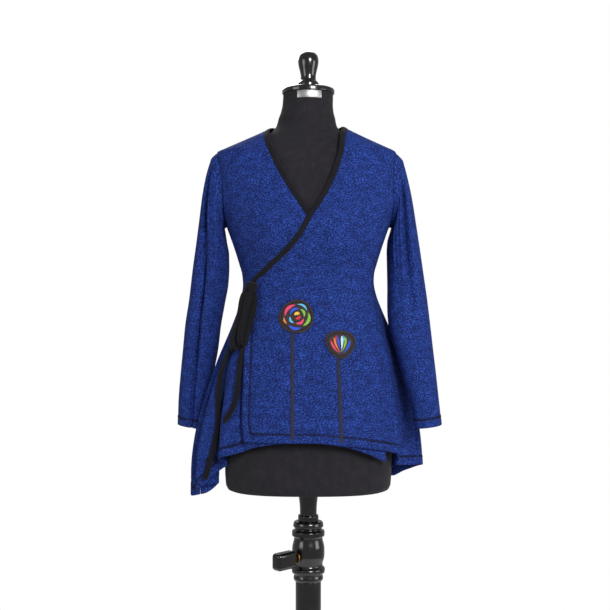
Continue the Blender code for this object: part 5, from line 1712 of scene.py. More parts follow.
@dataclass
class Flower:
    """A padded flower sewn on the front, with its thick stitched rim, petals and stem."""

    name: str
    stem_name: str
    panel: FrontPanel
    middle: Pair
    half: Pair
    outline: Callable[[Array], Line]
    petals: Sequence[Petal]
    stem_run: tuple[Pair, Pair]
    ground: Finish
    outline_thread: Finish
    stem_thread: Finish
    colours: dict[str, Finish]
    sides: int = 260

    def __post_init__(self) -> None:
        """Finds the cloth's own scale round the flower's middle."""
        x, self.z = self.middle
        self.angle = float(angle_at(x, self.z))
        step = 0.01
        here = surface_point(self.angle, self.z)
        self.per_turn = float(np.linalg.norm(surface_point(self.angle + step, self.z) - here)) / step
        self.per_rise = float(np.linalg.norm(surface_point(self.angle, self.z + step) - here)) / step

    def point(self, across: Array, up: Array, out: Array | float) -> Array:
        """Points some way across and up from the flower's middle, out of the cloth."""
        return self.panel.outer(self.angle + across / self.per_turn, self.z + up / self.per_rise, out)

    def ring(self, inset_by: Array | float, share: Array | float) -> Line:
        """Places inside the outline, in metres from the middle."""
        across, up = self.outline(full_turn(self.sides))
        return across * (self.half[0] - inset_by) * share, up * (self.half[1] - inset_by) * share

    def patch(self) -> Piece:
        """The padded ground inside the rim.

        Returns:
            The piece.
        """
        rows = [self.point(*self.ring(RIM_WIDTH + SEAM_GAP, share),
                           np.full(self.sides, APPLIQUE_SEAT + PATCH_HEIGHT * out))
                for share, out in PATCH_RINGS]
        made = tube_object(f"{self.name}_ground", np.stack(rows), np.linspace(0.0, 0.03, len(rows)))
        return dress(made, self.ground, self.name)

    def rim(self) -> Piece:
        """The thick cord of satin stitches round the flower.

        Returns:
            The piece.
        """
        turn = full_turn(14)
        across_rim = (1 - np.cos(turn)) / 2
        rise = np.clip(np.sin(turn), 0.0, 1.0) ** 0.6
        rows = []
        wobble = full_turn(self.sides)
        uneven = 0.00022 * np.sin(17 * wobble) + 0.00016 * np.sin(41 * wobble + 1.0)
        for share, up_share in zip(across_rim, rise):
            across, up = self.ring(RIM_WIDTH * share + uneven * abs(share - 0.5) * 2, 1.0)
            height = APPLIQUE_SEAT + RIM_HEIGHT * up_share * (1.0 + 0.05 * np.sin(60 * wobble))
            rows.append(self.point(across, up, height))
        made = loop_object(f"{self.name}_cord", np.stack(rows, axis=1))
        return dress(made, self.outline_thread, f"{self.name}_rim")

    def petal(self, number: int, petal: Petal) -> Piece:
        """A padded lens of coloured stitches along a bowed line.

        Args:
            number: its number, for its name.
            petal: its line, width and colour.

        Returns:
            The piece.
        """
        t = np.linspace(0.0, 1.0, 25)
        start, end = np.array(petal.start), np.array(petal.end)
        chord = end - start
        side = np.array((-chord[1], chord[0]))
        middle = start + chord * t[:, None] + side * (petal.bow * 4 * t * (1 - t))[:, None]
        run = unit(np.gradient(middle, axis=0))
        left = np.stack((-run[:, 1], run[:, 0]), axis=-1)
        half = petal.width / 2 * np.sin(math.pi * t ** (math.log(0.5) / math.log(petal.lean))) ** 0.75
        turn = full_turn(16)
        scale = np.array(self.half) - RIM_WIDTH - SEAM_GAP
        rows = []
        for i in range(len(t)):
            flat = (middle[i] + left[i] * (half[i] + 0.004) * np.cos(turn)[:, None]) * scale
            dome = np.where(np.sin(turn) > 0, np.abs(np.sin(turn)) ** 0.55, -0.1 * np.abs(np.sin(turn)))
            lift = 0.00105 * min(half[i] / 0.06, 1.0) ** 0.5
            rows.append(self.point(flat[:, 0], flat[:, 1], APPLIQUE_SEAT + PATCH_HEIGHT + lift * dome))
        grid = np.stack(rows)
        made = tube_object(f"{self.name}_petal_{number}", grid, lengths(grid.mean(axis=1), 0))
        return dress(made, self.colours[petal.colour])

    def stem(self) -> Piece:
        """The raised satin stitched stem down to the hem.

        Returns:
            The piece.
        """
        (x0, z0), (x1, z1) = self.stem_run
        t = np.linspace(0.0, 1.0, 140)
        x, z = x0 + (x1 - x0) * t, z0 + (z1 - z0) * t
        angle = angle_at(x, z)
        turn = full_turn(14)
        edge = STEM_WIDTH / 2 * (1.0 + 0.05 * np.sin(t * 90) + 0.03 * np.sin(t * 217))
        radius = np.hypot(*np.moveaxis(surface_point(angle, z)[:, :2], -1, 0))
        turns = angle[:, None] + (edge / radius)[:, None] * np.cos(turn)[None, :]
        rise = np.clip(np.sin(turn), 0.0, 1.0) ** 0.6
        out = APPLIQUE_SEAT + STEM_HEIGHT * 1.15 * rise[None, :] + np.zeros_like(turns)
        grid = self.panel.outer(turns, np.broadcast_to(z[:, None], turns.shape), out)
        made = tube_object(f"{self.stem_name}_stitches", grid, lengths(grid.mean(axis=1), 0))
        return dress(made, self.stem_thread, self.stem_name)

    def build(self) -> list[Piece]:
        """Builds the flower from the cloth outwards.

        Returns:
            The pieces.
        """
        rim, stem, patch = self.rim(), self.stem(), self.patch()
        return [patch, rim, stem, *(self.petal(number, petal) for number, petal in enumerate(self.petals))]


def loop_object(name: str, grid: Array) -> Piece:
    """A closed ring of sections: the grid's rows run round it, its columns round each section.

    Args:
        name: the piece's name.
        grid: sections of points, one to a row.

    Returns:
        The piece.
    """
    rows, sides = grid.shape[:2]
    index = np.arange(rows * sides).reshape(rows, sides)
    after, next_side = np.roll(index, -1, axis=0), np.roll(index, -1, axis=1)
    faces = np.stack((index, next_side, np.roll(after, -1, axis=1), after), axis=2).reshape(-1, 4)
    along = np.concatenate((lengths(grid.mean(axis=1), 0), [0.0]))
    along[-1] = along[-2] + along[1]
    spot = np.linspace(0.0, 0.012, sides + 1)
    i, j = np.divmod(np.arange(rows * sides), sides)
    uv = np.stack((np.stack((spot[j], along[i]), -1), np.stack((spot[j + 1], along[i]), -1),
                   np.stack((spot[j + 1], along[i + 1]), -1), np.stack((spot[j], along[i + 1]), -1)), axis=1)
    return put_mesh(name, grid.reshape(-1, 3), faces, uv)


@dataclass
class Torso:
    """The form's padded body and neck in one smooth jersey cover."""

    finish: Finish
    sides: int = 120
    body_span: Pair = (0.70, 1.4335)
    neck_span: Pair = (1.440, NECK_TOP_Z)
    body_rings: int = 92
    neck_rings: int = 24

    def ring(self, z: float, scale: float = 1.0) -> Array:
        """Points round the body, just inside the cloth.

        Args:
            z: the ring's height.
            scale: how much smaller it is made.

        Returns:
            The ring's points.
        """
        angle = full_turn(self.sides)
        room = WALL + EASE_AT(z) + FRONT_EASE_AT(z) * np.maximum(0.0, np.cos(angle))
        points = cloth_point(angle, np.full_like(angle, z), -room, folded=False)
        return points * (scale, scale, 1.0)

    def neck_ring(self, z: float) -> Array:
        """Points round the neck.

        Args:
            z: the ring's height.

        Returns:
            The ring's points.
        """
        angle = full_turn(self.sides)
        wide, deep = over(NECK_RINGS, "z", "half_width")(z), over(NECK_RINGS, "z", "half_depth")(z)
        return np.stack((wide * np.sin(angle) + LEAN_AT(z), -deep * np.cos(angle), np.full_like(angle, z)),
                        axis=-1)

    def build(self) -> Piece:
        """Builds the body from its foot up to the neck cap.

        Returns:
            The piece.
        """
        rings = []
        for z, scale in TORSO_FOOT:
            ring = self.ring(z, scale)
            ring[:, 2] = z
            rings.append(ring)
        rings += [self.ring(float(z)) for z in np.linspace(*self.body_span, self.body_rings)]
        rings += [self.neck_ring(float(z)) for z in np.linspace(*self.neck_span, self.neck_rings)]
        grid = np.stack(rings)
        made = tube_object("form_cover", grid, lengths(grid, 0).mean(axis=1))
        dress(made, self.finish, "form_torso")
        return made


def select_none() -> None:
    """Deselects every object."""
    bpy.ops.object.select_all(action="DESELECT")


def apply_transform() -> None:
    """Moves the selected pieces' place, turn and size into their points."""
    bpy.ops.object.transform_apply(location=True, rotation=True, scale=True)


def named(name: str) -> Piece:
    """The piece just added, under its own name.

    Args:
        name: the name.

    Returns:
        The piece.
    """
    made = bpy.context.object
    made.name = made.data.name = name
    return made


def apply_bevel(made: Piece, width: float, segments: int, angle: float = 28.0) -> None:
    """Rounds a piece's sharp edges for good and smooths its shading.

    Args:
        made: the piece.
        width: how wide the rounding is, in metres.
        segments: how many steps it has.
        angle: the least angle that counts as an edge, in degrees.
    """
    bevel = made.modifiers.new("rounding", "BEVEL")
    bevel.width, bevel.segments = width, segments
    bevel.limit_method, bevel.angle_limit = "ANGLE", math.radians(angle)
    bpy.ops.object.modifier_apply(modifier=bevel.name)
    bpy.ops.object.shade_smooth_by_angle(angle=math.radians(40.0))


def eased(profile: Sequence[Turning], per_step: int = 4) -> list[Turning]:
    """A turned profile with more points, smooth where it is and sharp at its corners.

    Args:
        profile: the profile's own points.
        per_step: how many to make for each of them.

    Returns:
        The finer profile.
    """
    runs = [math.hypot(after.radius - before.radius, after.z - before.z)
            for before, after in zip(profile, profile[1:])]
    along = np.concatenate(([0.0], np.cumsum(runs)))
    radius = SmoothTable(along, [point.radius for point in profile])
    height = SmoothTable(along, [point.z for point in profile])
    between = [along[:-1] + np.diff(along) * i / per_step for i in range(per_step)]
    places = np.unique(np.concatenate([along] + between))
    return [Turning(float(radius(place)), float(height(place))) for place in places]


@dataclass
class TurnedPiece:
    """A piece turned on a lathe, drawn out ring by ring from its first circle."""

    name: str
    node: str
    profile: Sequence[Turning]
    body: str
    slot: str
    finish: Finish
    rounding: float = 0.0006
    sides: int = 72

    def build(self) -> Piece:
        """Extrudes and widens a circle along the profile, closes its ends and rounds its edges.

        Returns:
            The piece.
        """
        bored = self.profile[0].radius > 0 and self.profile[-1].radius > 0
        points = [point for point in eased(self.profile) if point.radius > 0.0003]
        select_none()
        bpy.ops.mesh.primitive_circle_add(vertices=self.sides, radius=points[0].radius,
                                          location=(0, 0, points[0].z))
        made = named(self.name)
        bpy.ops.object.mode_set(mode="EDIT")
        bpy.ops.mesh.select_all(action="SELECT")
        run = points + ([points[0]] if bored else [])
        for before, after in zip(run, run[1:]):
            bpy.ops.mesh.extrude_region_move(TRANSFORM_OT_translate={"value": (0.0, 0.0, after.z - before.z)})
            scale = after.radius / before.radius
            bpy.ops.transform.resize(value=(scale, scale, 1.0), center_override=(0.0, 0.0, after.z))
        if bored:
            bpy.ops.mesh.select_all(action="SELECT")
            bpy.ops.mesh.remove_doubles(threshold=0.00005)
        else:
            bpy.ops.mesh.edge_face_add()
            self.select_first(made)
            bpy.ops.mesh.edge_face_add()
            bpy.ops.mesh.select_all(action="SELECT")
        bpy.ops.mesh.normals_make_consistent(inside=False)
        bpy.ops.object.mode_set(mode="OBJECT")
        apply_transform()
        if self.rounding:
            apply_bevel(made, self.rounding, 3)
        return dress(made, self.finish, self.node, self.body)

    def select_first(self, made: Piece) -> None:
        """Selects only the circle that the piece began with.

        Args:
            made: the piece.
        """
        bpy.ops.mesh.select_all(action="DESELECT")
        mesh = bmesh.from_edit_mesh(made.data)
        mesh.verts.ensure_lookup_table()
        for vert in mesh.verts[:self.sides]:
            vert.select = True
        mesh.select_flush(True)
        bmesh.update_edit_mesh(made.data)


@dataclass
class NeckPlate:
    """The bare metal plate bent round the front of the neck."""

    finish: Finish

    def build(self) -> Piece:
        """Spins a slim upright rectangle round the neck.

        Returns:
            The piece.
        """
        half_turn = PLATE_WIDTH / 2 / NECK_RADIUS
        centre = (float(LEAN_AT(1.50)), 0.0, (PLATE_BOTTOM_Z + PLATE_TOP_Z) / 2)
        reach = NECK_RADIUS + PLATE_SEAT + PLATE_THICKNESS / 2
        select_none()
        bpy.ops.mesh.primitive_plane_add(size=1.0, location=(centre[0], -reach, centre[2]),
                                         rotation=(0, math.pi / 2, 0))
        made = named("form_plate")
        bpy.ops.transform.resize(value=(1.0, PLATE_THICKNESS, PLATE_TOP_Z - PLATE_BOTTOM_Z))
        apply_transform()
        bpy.ops.object.mode_set(mode="EDIT")
        bpy.ops.mesh.select_all(action="SELECT")
        turn = Matrix.Rotation(PLATE_SHIFT / NECK_RADIUS + half_turn, 4, "Z")
        mesh = bmesh.from_edit_mesh(made.data)
        mesh.transform(Matrix.Translation(centre) @ turn @ Matrix.Translation([-part for part in centre]))
        bmesh.update_edit_mesh(made.data)
        bpy.ops.mesh.spin(steps=28, angle=2 * half_turn, center=centre, axis=(0.0, 0.0, 1.0))
        bpy.ops.mesh.select_all(action="SELECT")
        bpy.ops.mesh.remove_doubles(threshold=0.00002)
        bpy.ops.mesh.normals_make_consistent(inside=False)
        bpy.ops.object.mode_set(mode="OBJECT")
        apply_bevel(made, 0.0003, 2)
        return dress(made, self.finish, "neck_plate")


@dataclass
class Clamp:
    """The clamp knob and its washer, on a screw level with the pole head's middle."""

    knob_finish: Finish
    washer_finish: Finish
    start: float = 0.0440
    end: float = 0.0967
    half_depth: float = 0.0131
    half_height: float = 0.0180
    rounding: float = 0.0075
    neck_radius: float = 0.0075
    neck_length: float = 0.0100
    neck_middle: float = 0.0432
    lip_width: float = 0.0022
    lip_depth: float = 0.0006

    def rod(self, sides: int, radius: float, length: float, middle: float) -> None:
        """Adds a cylinder that lies along +X, and applies its turn."""
        bpy.ops.mesh.primitive_cylinder_add(vertices=sides, radius=radius, depth=length,
                                            location=(middle, 0.0, 0.0), rotation=(0.0, math.pi / 2, 0.0))
        apply_transform()

    def knob(self) -> Piece:
        """A rounded block with a short neck drawn out of its inner face.

        Returns:
            The piece.
        """
        select_none()
        bpy.ops.mesh.primitive_cube_add(size=1.0, location=((self.start + self.end) / 2, 0.0, 0.0))
        made = named("clamp_block")
        bpy.ops.transform.resize(value=(self.end - self.start, 2 * self.half_depth, 2 * self.half_height))
        apply_transform()
        apply_bevel(made, self.rounding, 6)
        select_none()
        self.rod(40, self.neck_radius, self.neck_length, self.neck_middle)
        apply_bevel(bpy.context.object, 0.0008, 2)
        made.select_set(True)
        bpy.context.view_layer.objects.active = made
        bpy.ops.object.join()
        self.set_in_place(made)
        return dress(made, self.knob_finish, "clamp_knob", "knob")

    def washer(self) -> Piece:
        """A thick ring with a raised lip.

        Returns:
            The piece.
        """
        select_none()
        self.rod(56, WASHER_RADIUS, WASHER_THICKNESS, WASHER_START + WASHER_THICKNESS / 2)
        made = named("clamp_ring")
        bpy.ops.object.mode_set(mode="EDIT")
        bpy.ops.mesh.select_all(action="DESELECT")
        mesh = bmesh.from_edit_mesh(made.data)
        for face in mesh.faces:
            face.select = face.normal.x > 0.9
        bmesh.update_edit_mesh(made.data)
        bpy.ops.mesh.inset(thickness=self.lip_width, depth=-self.lip_depth)
        bpy.ops.object.mode_set(mode="OBJECT")
        apply_bevel(made, 0.0004, 2)
        self.set_in_place(made)
        return dress(made, self.washer_finish, "clamp_washer", "knob")

    def set_in_place(self, made: Piece) -> None:
        """Turns a piece to the screw's direction and lifts it to the screw's height."""
        made.data.transform(Matrix.Translation((0.0, 0.0, KNOB_Z)) @ Matrix.Rotation(KNOB_TURN, 4, "Z"))


class Level:
    """A number that changes over a surface, for sums written as plain expressions."""

    def __init__(self, shader: Shader, socket: Socket) -> None:
        """Wraps a socket.

        Args:
            shader: the material that the socket is in.
            socket: an output that gives a number.
        """
        self.shader, self.socket = shader, socket

    def combined(self, operation: str, first: Level | float, second: Level | float = 0.0) -> Level:
        """Adds a Math node for two numbers."""
        node = self.shader.node("ShaderNodeMath", {"operation": operation}, {0: first, 1: second})
        return Level(self.shader, node.outputs[0])

    def __add__(self, other: Level | float) -> Level:
        """self + other."""
        return self.combined("ADD", self, other)

    def __sub__(self, other: Level | float) -> Level:
        """self - other."""
        return self.combined("SUBTRACT", self, other)

    def __rsub__(self, other: float) -> Level:
        """other - self."""
        return self.combined("SUBTRACT", other, self)

    def __mul__(self, other: Level | float) -> Level:
        """self * other."""
        return self.combined("MULTIPLY", self, other)

    def __pow__(self, other: float) -> Level:
        """self to a power."""
        return self.combined("POWER", self, other)

    def __gt__(self, other: float) -> Level:
        """1 where self is greater."""
        return self.combined("GREATER_THAN", self, other)

    def sine(self) -> Level:
        """The sine of the number."""
        return self.combined("SINE", self)

    def size(self) -> Level:
        """The number without its sign."""
        return self.combined("ABSOLUTE", self)

    __radd__, __rmul__ = __add__, __mul__


class Shader:
    """A material under construction: one Principled shader and what feeds it."""

    def __init__(self, name: str, constants: dict[str, float | Colour]) -> None:
        """Starts a material.

        Args:
            name: the material's name.
            constants: values of the Principled shader's own sockets.
        """
        self.material = bpy.data.materials.new(name)
        self.material.use_nodes = True
        self.tree = self.material.node_tree
        self.surface = next(node for node in self.tree.nodes if node.type == "BSDF_PRINCIPLED")
        for socket, value in constants.items():
            self.surface.inputs[socket].default_value = (*value, 1.0) if isinstance(value, tuple) else value

    def node(self, kind: str, settings: dict | None = None, values: dict | None = None) -> bpy.types.Node:
        """Adds a node.

        Args:
            kind: the node's type.
            settings: its own settings; stops are a ramp's places and colours.
            values: numbers, colours or links for its sockets, by name or number.

        Returns:
            The node.
        """
        made = self.tree.nodes.new(kind)
        for name, value in (settings or {}).items():
            if name == "stops":
                for _ in value[2:]:
                    made.color_ramp.elements.new(0.5)
                for element, (place, colour) in zip(made.color_ramp.elements, value):
                    element.position, element.color = place, (*colour, 1.0)
            else:
                setattr(made, name, value)
        for name, value in (values or {}).items():
            socket = made.inputs[name]
            if isinstance(value, Level):
                self.tree.links.new(value.socket, socket)
            elif isinstance(value, Socket):
                self.tree.links.new(value, socket)
            else:
                colour = isinstance(value, tuple) and len(socket.default_value) == 4
                socket.default_value = (*value, 1.0) if colour else value
        return made

    def cloth_place(self) -> Socket:
        """The cloth's own coordinates, in metres along and across its knit."""
        return self.node("ShaderNodeUVMap", {"uv_map": "cloth"}).outputs["UV"]

    def object_place(self) -> Socket:
        """The piece's own coordinates, in metres."""
        return self.node("ShaderNodeTexCoord").outputs["Object"]

    def stretched(self, place: Socket, scale: Triple) -> Socket:
        """A place multiplied along each axis."""
        return self.node("ShaderNodeMapping", None, {"Vector": place, "Scale": scale}).outputs["Vector"]

    def noise(self, place: Socket, scale: Triple, detail: float = 2.0, rough: float = 0.55,
              warp: float = 0.0) -> Level:
        """Soft noise whose cells are so many to the metre along each axis.

        Args:
            place: where the number is read.
            scale: cells to the metre along each axis.
            detail: how many finer layers it has.
            rough: how strong those are.
            warp: how much it is bent.

        Returns:
            The number.
        """
        values = {"Vector": self.stretched(place, scale), "Scale": 1.0, "Detail": detail, "Roughness": rough,
                  "Distortion": warp}
        return Level(self, self.node("ShaderNodeTexNoise", None, values).outputs["Fac"])

    def axis(self, place: Socket, name: str) -> Level:
        """One axis of a place."""
        return Level(self, self.node("ShaderNodeSeparateXYZ", None, {"Vector": place}).outputs[name])

    def ramp(self, level: Level, *stops: tuple[float, Colour]) -> Socket:
        """Colours over a number."""
        return self.node("ShaderNodeValToRGB", {"stops": stops}, {"Fac": level}).outputs["Color"]

    def blend(self, share: Level | float, first: Socket | Colour, second: Socket | Colour) -> Socket:
        """Two colours mixed by a number.

        Args:
            share: how much of the second.
            first: a colour.
            second: another.

        Returns:
            The colour.
        """
        made = self.node("ShaderNodeMix", {"data_type": "RGBA"}, {0: share})
        first_colour, second_colour, mixed = 6, 7, 2
        for place, value in ((first_colour, first), (second_colour, second)):
            if isinstance(value, Socket):
                self.tree.links.new(value, made.inputs[place])
            else:
                made.inputs[place].default_value = (*value, 1.0)
        return made.outputs[mixed]

    def range(self, level: Level, low: float, high: float) -> Level:
        """A number from 0 to 1 spread between two others."""
        made = self.node("ShaderNodeMapRange", None, {"Value": level, "To Min": low, "To Max": high})
        return Level(self, made.outputs["Result"])

    def finish(self, colour: Socket, rough: Level | None = None, height: Level | None = None,
               relief: float = 0.0002) -> Material:
        """Joins what was made to the surface.

        Args:
            colour: the surface's colour.
            rough: its roughness.
            height: its fine relief, from 0 to 1.
            relief: how high that is, in metres.

        Returns:
            The material.
        """
        self.tree.links.new(colour, self.surface.inputs["Base Color"])
        if rough is not None:
            self.tree.links.new(rough.socket, self.surface.inputs["Roughness"])
        if height is not None:
            values = {"Height": height, "Strength": 1.0, "Distance": relief}
            normal = self.node("ShaderNodeBump", None, values).outputs["Normal"]
            self.tree.links.new(normal, self.surface.inputs["Normal"])
        return self.material


def shown(red: int, green: int, blue: int) -> Colour:
    """A colour as a screen shows it, as the renderer's own numbers.

    Args:
        red: 0 to 255.
        green: 0 to 255.
        blue: 0 to 255.

    Returns:
        The colour.
    """
    parts = []
    for part in (red, green, blue):
        share = part / 255
        parts.append(share / 12.92 if share <= 0.04045 else ((share + 0.055) / 1.055) ** 2.4)
    return tuple(parts)


def scaled(colour: Colour, by: float) -> Colour:
    """A colour made lighter or darker."""
    return tuple(min(part * by, 1.0) for part in colour)


@dataclass(frozen=True)
class Finish:
    """What all the finishes share: a name, a colour and a way to put them on a piece."""

    name: str
    colour: Colour

    def material(self) -> Material:
        """The finish's material, made once."""
        return bpy.data.materials.get(self.name) or self.make()

    def make(self) -> Material:
        """Makes the material."""
        raise NotImplementedError

    def put_on(self, piece: Piece) -> None:
        """Gives a piece this finish alone."""
        piece.data.materials.clear()
        piece.data.materials.append(self.material())


@dataclass(frozen=True)
class MelangeKnit(Finish):
    """Fine plain knit of mixed dark and light yarn, mottled in short level streaks."""

    dark: Colour = shown(9, 17, 54)
    light: Colour = shown(46, 78, 166)

    def make(self) -> Material:
        """Streaks, flecks and slow blotches of the yarn, and the knit's stitches.

        Returns:
            The material.
        """
        shader = Shader(self.name, {"Roughness": 0.92, "Sheen Weight": 0.08, "Sheen Roughness": 0.5,
                                    "Sheen Tint": scaled(self.colour, 1.6), "Specular IOR Level": 0.20})
        place = shader.cloth_place()
        streak = shader.noise(place, (270.0, 440.0, 1.0), 1.8, 0.5, 0.4)
        fleck = shader.noise(place, (520.0, 900.0, 1.0), 2.0, 0.6)
        blotch = shader.noise(place, (42.0, 70.0, 1.0), 2.0, 0.6)
        yarn = streak * 0.60 + fleck * 0.22 + blotch * 0.18
        colour = shader.ramp(yarn, (0.385, self.dark), (0.50, self.colour), (0.622, self.light))
        fibre = shader.noise(place, (240.0, 1900.0, 1.0), 1.0, 0.5) > 0.66
        colour = shader.blend(fibre * 0.3, colour, scaled(self.light, 1.2))
        wale = (shader.axis(place, "X") * (math.pi / 0.00125)).sine().size()
        course = (shader.axis(place, "Y") * (math.pi / 0.00095)).sine().size()
        height = wale * 0.4 + course * 0.25 + fleck * 0.6
        return shader.finish(colour, shader.range(blotch, 0.86, 0.96), height, 0.00022)


@dataclass(frozen=True)
class SoftJersey(Finish):
    """Plain soft jersey in one dark colour, with fine knit ribs and a little lint."""

    lint: Colour = shown(62, 60, 66)
    rib: float = 0.0011
    relief: float = 0.00018
    sheen: float = 0.12

    def make(self) -> Material:
        """Slow changes of shade, lint and fine ribs along the cloth.

        Returns:
            The material.
        """
        shader = Shader(self.name, {"Roughness": 0.9, "Sheen Weight": self.sheen, "Sheen Roughness": 0.5,
                                    "Specular IOR Level": 0.18})
        place = shader.cloth_place()
        slow = shader.noise(place, (60.0, 45.0, 1.0), 3.0)
        grain = shader.noise(place, (900.0, 1300.0, 1.0), 2.0, 0.6)
        shade = slow * 0.6 + grain * 0.4
        colour = shader.ramp(shade, (0.30, scaled(self.colour, 0.62)), (0.52, self.colour),
                             (0.74, scaled(self.colour, 1.7)))
        speck = shader.noise(place, (700.0, 500.0, 1.0), 1.0) > 0.735
        colour = shader.blend(speck * 0.5, colour, self.lint)
        wale = (shader.axis(place, "X") * (math.pi / self.rib)).sine().size()
        course = (shader.axis(place, "Y") * (math.pi / (self.rib * 0.8))).sine().size()
        height = wale * 0.5 + course * 0.3 + grain * 0.5
        return shader.finish(colour, shader.range(slow, 0.82, 0.95), height, self.relief)


@dataclass(frozen=True)
class SatinThread(Finish):
    """Close rows of embroidery thread, with flecks of a second colour."""

    fleck: Colour = shown(150, 84, 44)
    flecks: float = 0.74
    row: float = 0.0008

    def make(self) -> Material:
        """Rows of thread across the piece's length, with painted highlight on their tops and painted shade in
        the grooves between them, and uneven in tone.

        Returns:
            The material.
        """
        shader = Shader(self.name, {"Roughness": 0.62, "Sheen Weight": 0.1, "Specular IOR Level": 0.35})
        place = shader.cloth_place()
        uneven = shader.noise(place, (250.0, 900.0, 1.0), 2.0)
        # Painted highlight and shade: the rows' relief lightens their tops and darkens the grooves between
        # them; the uneven noise is the thread's own tone.
        rows = ((shader.axis(place, "Y") * (math.pi / self.row)) + uneven * 2.2).sine().size()
        shade = rows * 0.55 + uneven * 0.45
        colour = shader.ramp(shade, (0.18, scaled(self.colour, 0.5)), (0.55, self.colour),
                             (0.9, scaled(self.colour, 1.55)))
        spots = shader.noise(place, (420.0, 520.0, 1.0), 1.5) > self.flecks
        colour = shader.blend(spots * 0.8, colour, self.fleck)
        return shader.finish(colour, shader.range(uneven, 0.5, 0.72), rows * 0.8 + uneven * 0.3, 0.0003)


@dataclass(frozen=True)
class SewingThread(Finish):
    """Matt sewing thread with a fine twist."""

    def make(self) -> Material:
        """Fine changes of shade along the thread.

        Returns:
            The material.
        """
        shader = Shader(self.name, {"Roughness": 0.75, "Specular IOR Level": 0.25})
        place = shader.object_place()
        twist = shader.noise(place, (2400.0, 2400.0, 2400.0), 2.0)
        slow = shader.noise(place, (90.0, 90.0, 90.0), 2.0)
        shade = twist * 0.6 + slow * 0.4
        colour = shader.ramp(shade, (0.3, scaled(self.colour, 0.6)), (0.7, scaled(self.colour, 1.5)))
        return shader.finish(colour, shader.range(slow, 0.65, 0.85), twist, 0.0001)


@dataclass(frozen=True)
class GlossLacquer(Finish):
    """Thick glossy lacquer over turned wood, with dust specks, faint waves and rubbed places."""

    def make(self) -> Material:
        """Waves in the coat, dull rubbed patches and fine dust.

        Returns:
            The material.
        """
        shader = Shader(self.name, {"Specular IOR Level": 0.5, "Coat Weight": 0.6, "Coat Roughness": 0.06})
        place = shader.object_place()
        wave = shader.noise(place, (38.0, 38.0, 20.0), 2.0)
        rub = shader.noise(place, (16.0, 16.0, 40.0), 4.0, 0.65)
        dust = shader.noise(place, (900.0, 900.0, 900.0), 1.0)
        colour = shader.ramp(rub, (0.35, scaled(self.colour, 0.7)), (0.75, scaled(self.colour, 1.6)))
        colour = shader.blend((dust > 0.76) * 0.12, colour, shown(70, 68, 66))
        rough = shader.range(rub * 0.7 + dust * 0.3, 0.06, 0.34)
        return shader.finish(colour, rough, wave * 0.8 + dust * 0.05, 0.0006)


@dataclass(frozen=True)
class BrushedSteel(Finish):
    """Metal brushed along one direction, with finer scratches and dull spots."""

    brushed: Triple = (40.0, 40.0, 2600.0)
    rough: Pair = (0.24, 0.46)

    def make(self) -> Material:
        """Brush lines, scratches and slow dulling.

        Returns:
            The material.
        """
        shader = Shader(self.name, {"Metallic": 1.0})
        place = shader.object_place()
        lines = shader.noise(place, self.brushed, 3.0, 0.7)
        dull = shader.noise(place, (120.0, 120.0, 120.0), 3.0)
        shade = lines * 0.65 + dull * 0.35
        colour = shader.ramp(shade, (0.3, scaled(self.colour, 0.72)), (0.7, scaled(self.colour, 1.15)))
        return shader.finish(colour, shader.range(shade, *self.rough), lines, 0.00008)


@dataclass(frozen=True)
class PaintedIron(Finish):
    """Cast iron under black paint, pebbled, with scattered dusty and worn patches."""

    def make(self) -> Material:
        """The casting's pebbles, dust and worn spots.

        Returns:
            The material.
        """
        shader = Shader(self.name, {"Specular IOR Level": 0.4})
        place = shader.object_place()
        pebble = shader.noise(place, (420.0, 420.0, 420.0), 3.0, 0.6)
        wear = shader.noise(place, (22.0, 22.0, 60.0), 5.0, 0.7)
        colour = shader.ramp(wear, (0.42, self.colour), (0.70, scaled(self.colour, 1.9)),
                             (0.86, shown(84, 78, 72)))
        return shader.finish(colour, shader.range(wear, 0.32, 0.62), pebble, 0.0005)


@dataclass(frozen=True)
class PaleFloor(Finish):
    """A plain pale floor."""

    def make(self) -> Material:
        """A hardly visible grain.

        Returns:
            The material.
        """
        shader = Shader(self.name, {"Specular IOR Level": 0.2})
        grain = shader.noise(shader.object_place(), (7.0, 7.0, 7.0), 4.0)
        colour = shader.ramp(grain, (0.3, scaled(self.colour, 0.97)), (0.7, self.colour))
        return shader.finish(colour, shader.range(grain, 0.7, 0.85), grain, 0.0002)


MELANGE = MelangeKnit("melange_knit", shown(18, 38, 101))
BINDING_JERSEY = SoftJersey("binding_jersey", shown(17, 17, 24), sheen=0.06)
TIE_JERSEY = SoftJersey("tie_jersey", shown(14, 13, 20), rib=0.0009, sheen=0.08)
FORM_JERSEY = SoftJersey("matt_form_jersey", shown(33, 31, 36), lint=shown(62, 59, 64), rib=0.0008,
                         relief=0.0001, sheen=0.05)
OUTLINE_THREAD = SatinThread("outline_thread", shown(40, 29, 28))
PATCH_GROUND = SatinThread("patch_ground", shown(34, 26, 28), flecks=0.70)
STEM_THREAD = SatinThread("stem_thread", shown(25, 23, 46), fleck=shown(30, 46, 110), flecks=0.64)
COVER_THREAD = SewingThread("cover_thread", shown(24, 22, 42))
LACQUER = GlossLacquer("black_lacquer", shown(8, 8, 9))
PLATE_STEEL = BrushedSteel("plate_steel", shown(176, 174, 174), brushed=(60.0, 60.0, 2600.0),
                           rough=(0.30, 0.52))
MAST_STEEL = BrushedSteel("mast_steel", shown(168, 168, 170), brushed=(900.0, 900.0, 30.0))
WASHER_BRASS = BrushedSteel("washer_brass", shown(176, 132, 70), brushed=(300.0, 300.0, 300.0))
IRON = PaintedIron("painted_iron", shown(22, 21, 22))
FLOOR = PaleFloor("pale_floor", shown(240, 240, 240))
PETAL_SHADES = {"rose": (226, 62, 104), "red": (214, 44, 52), "leaf": (122, 178, 58), "blue": (44, 78, 206),
                "sky": (86, 178, 226), "yellow": (246, 190, 52), "ice": (190, 226, 236),
                "orange": (232, 120, 48)}
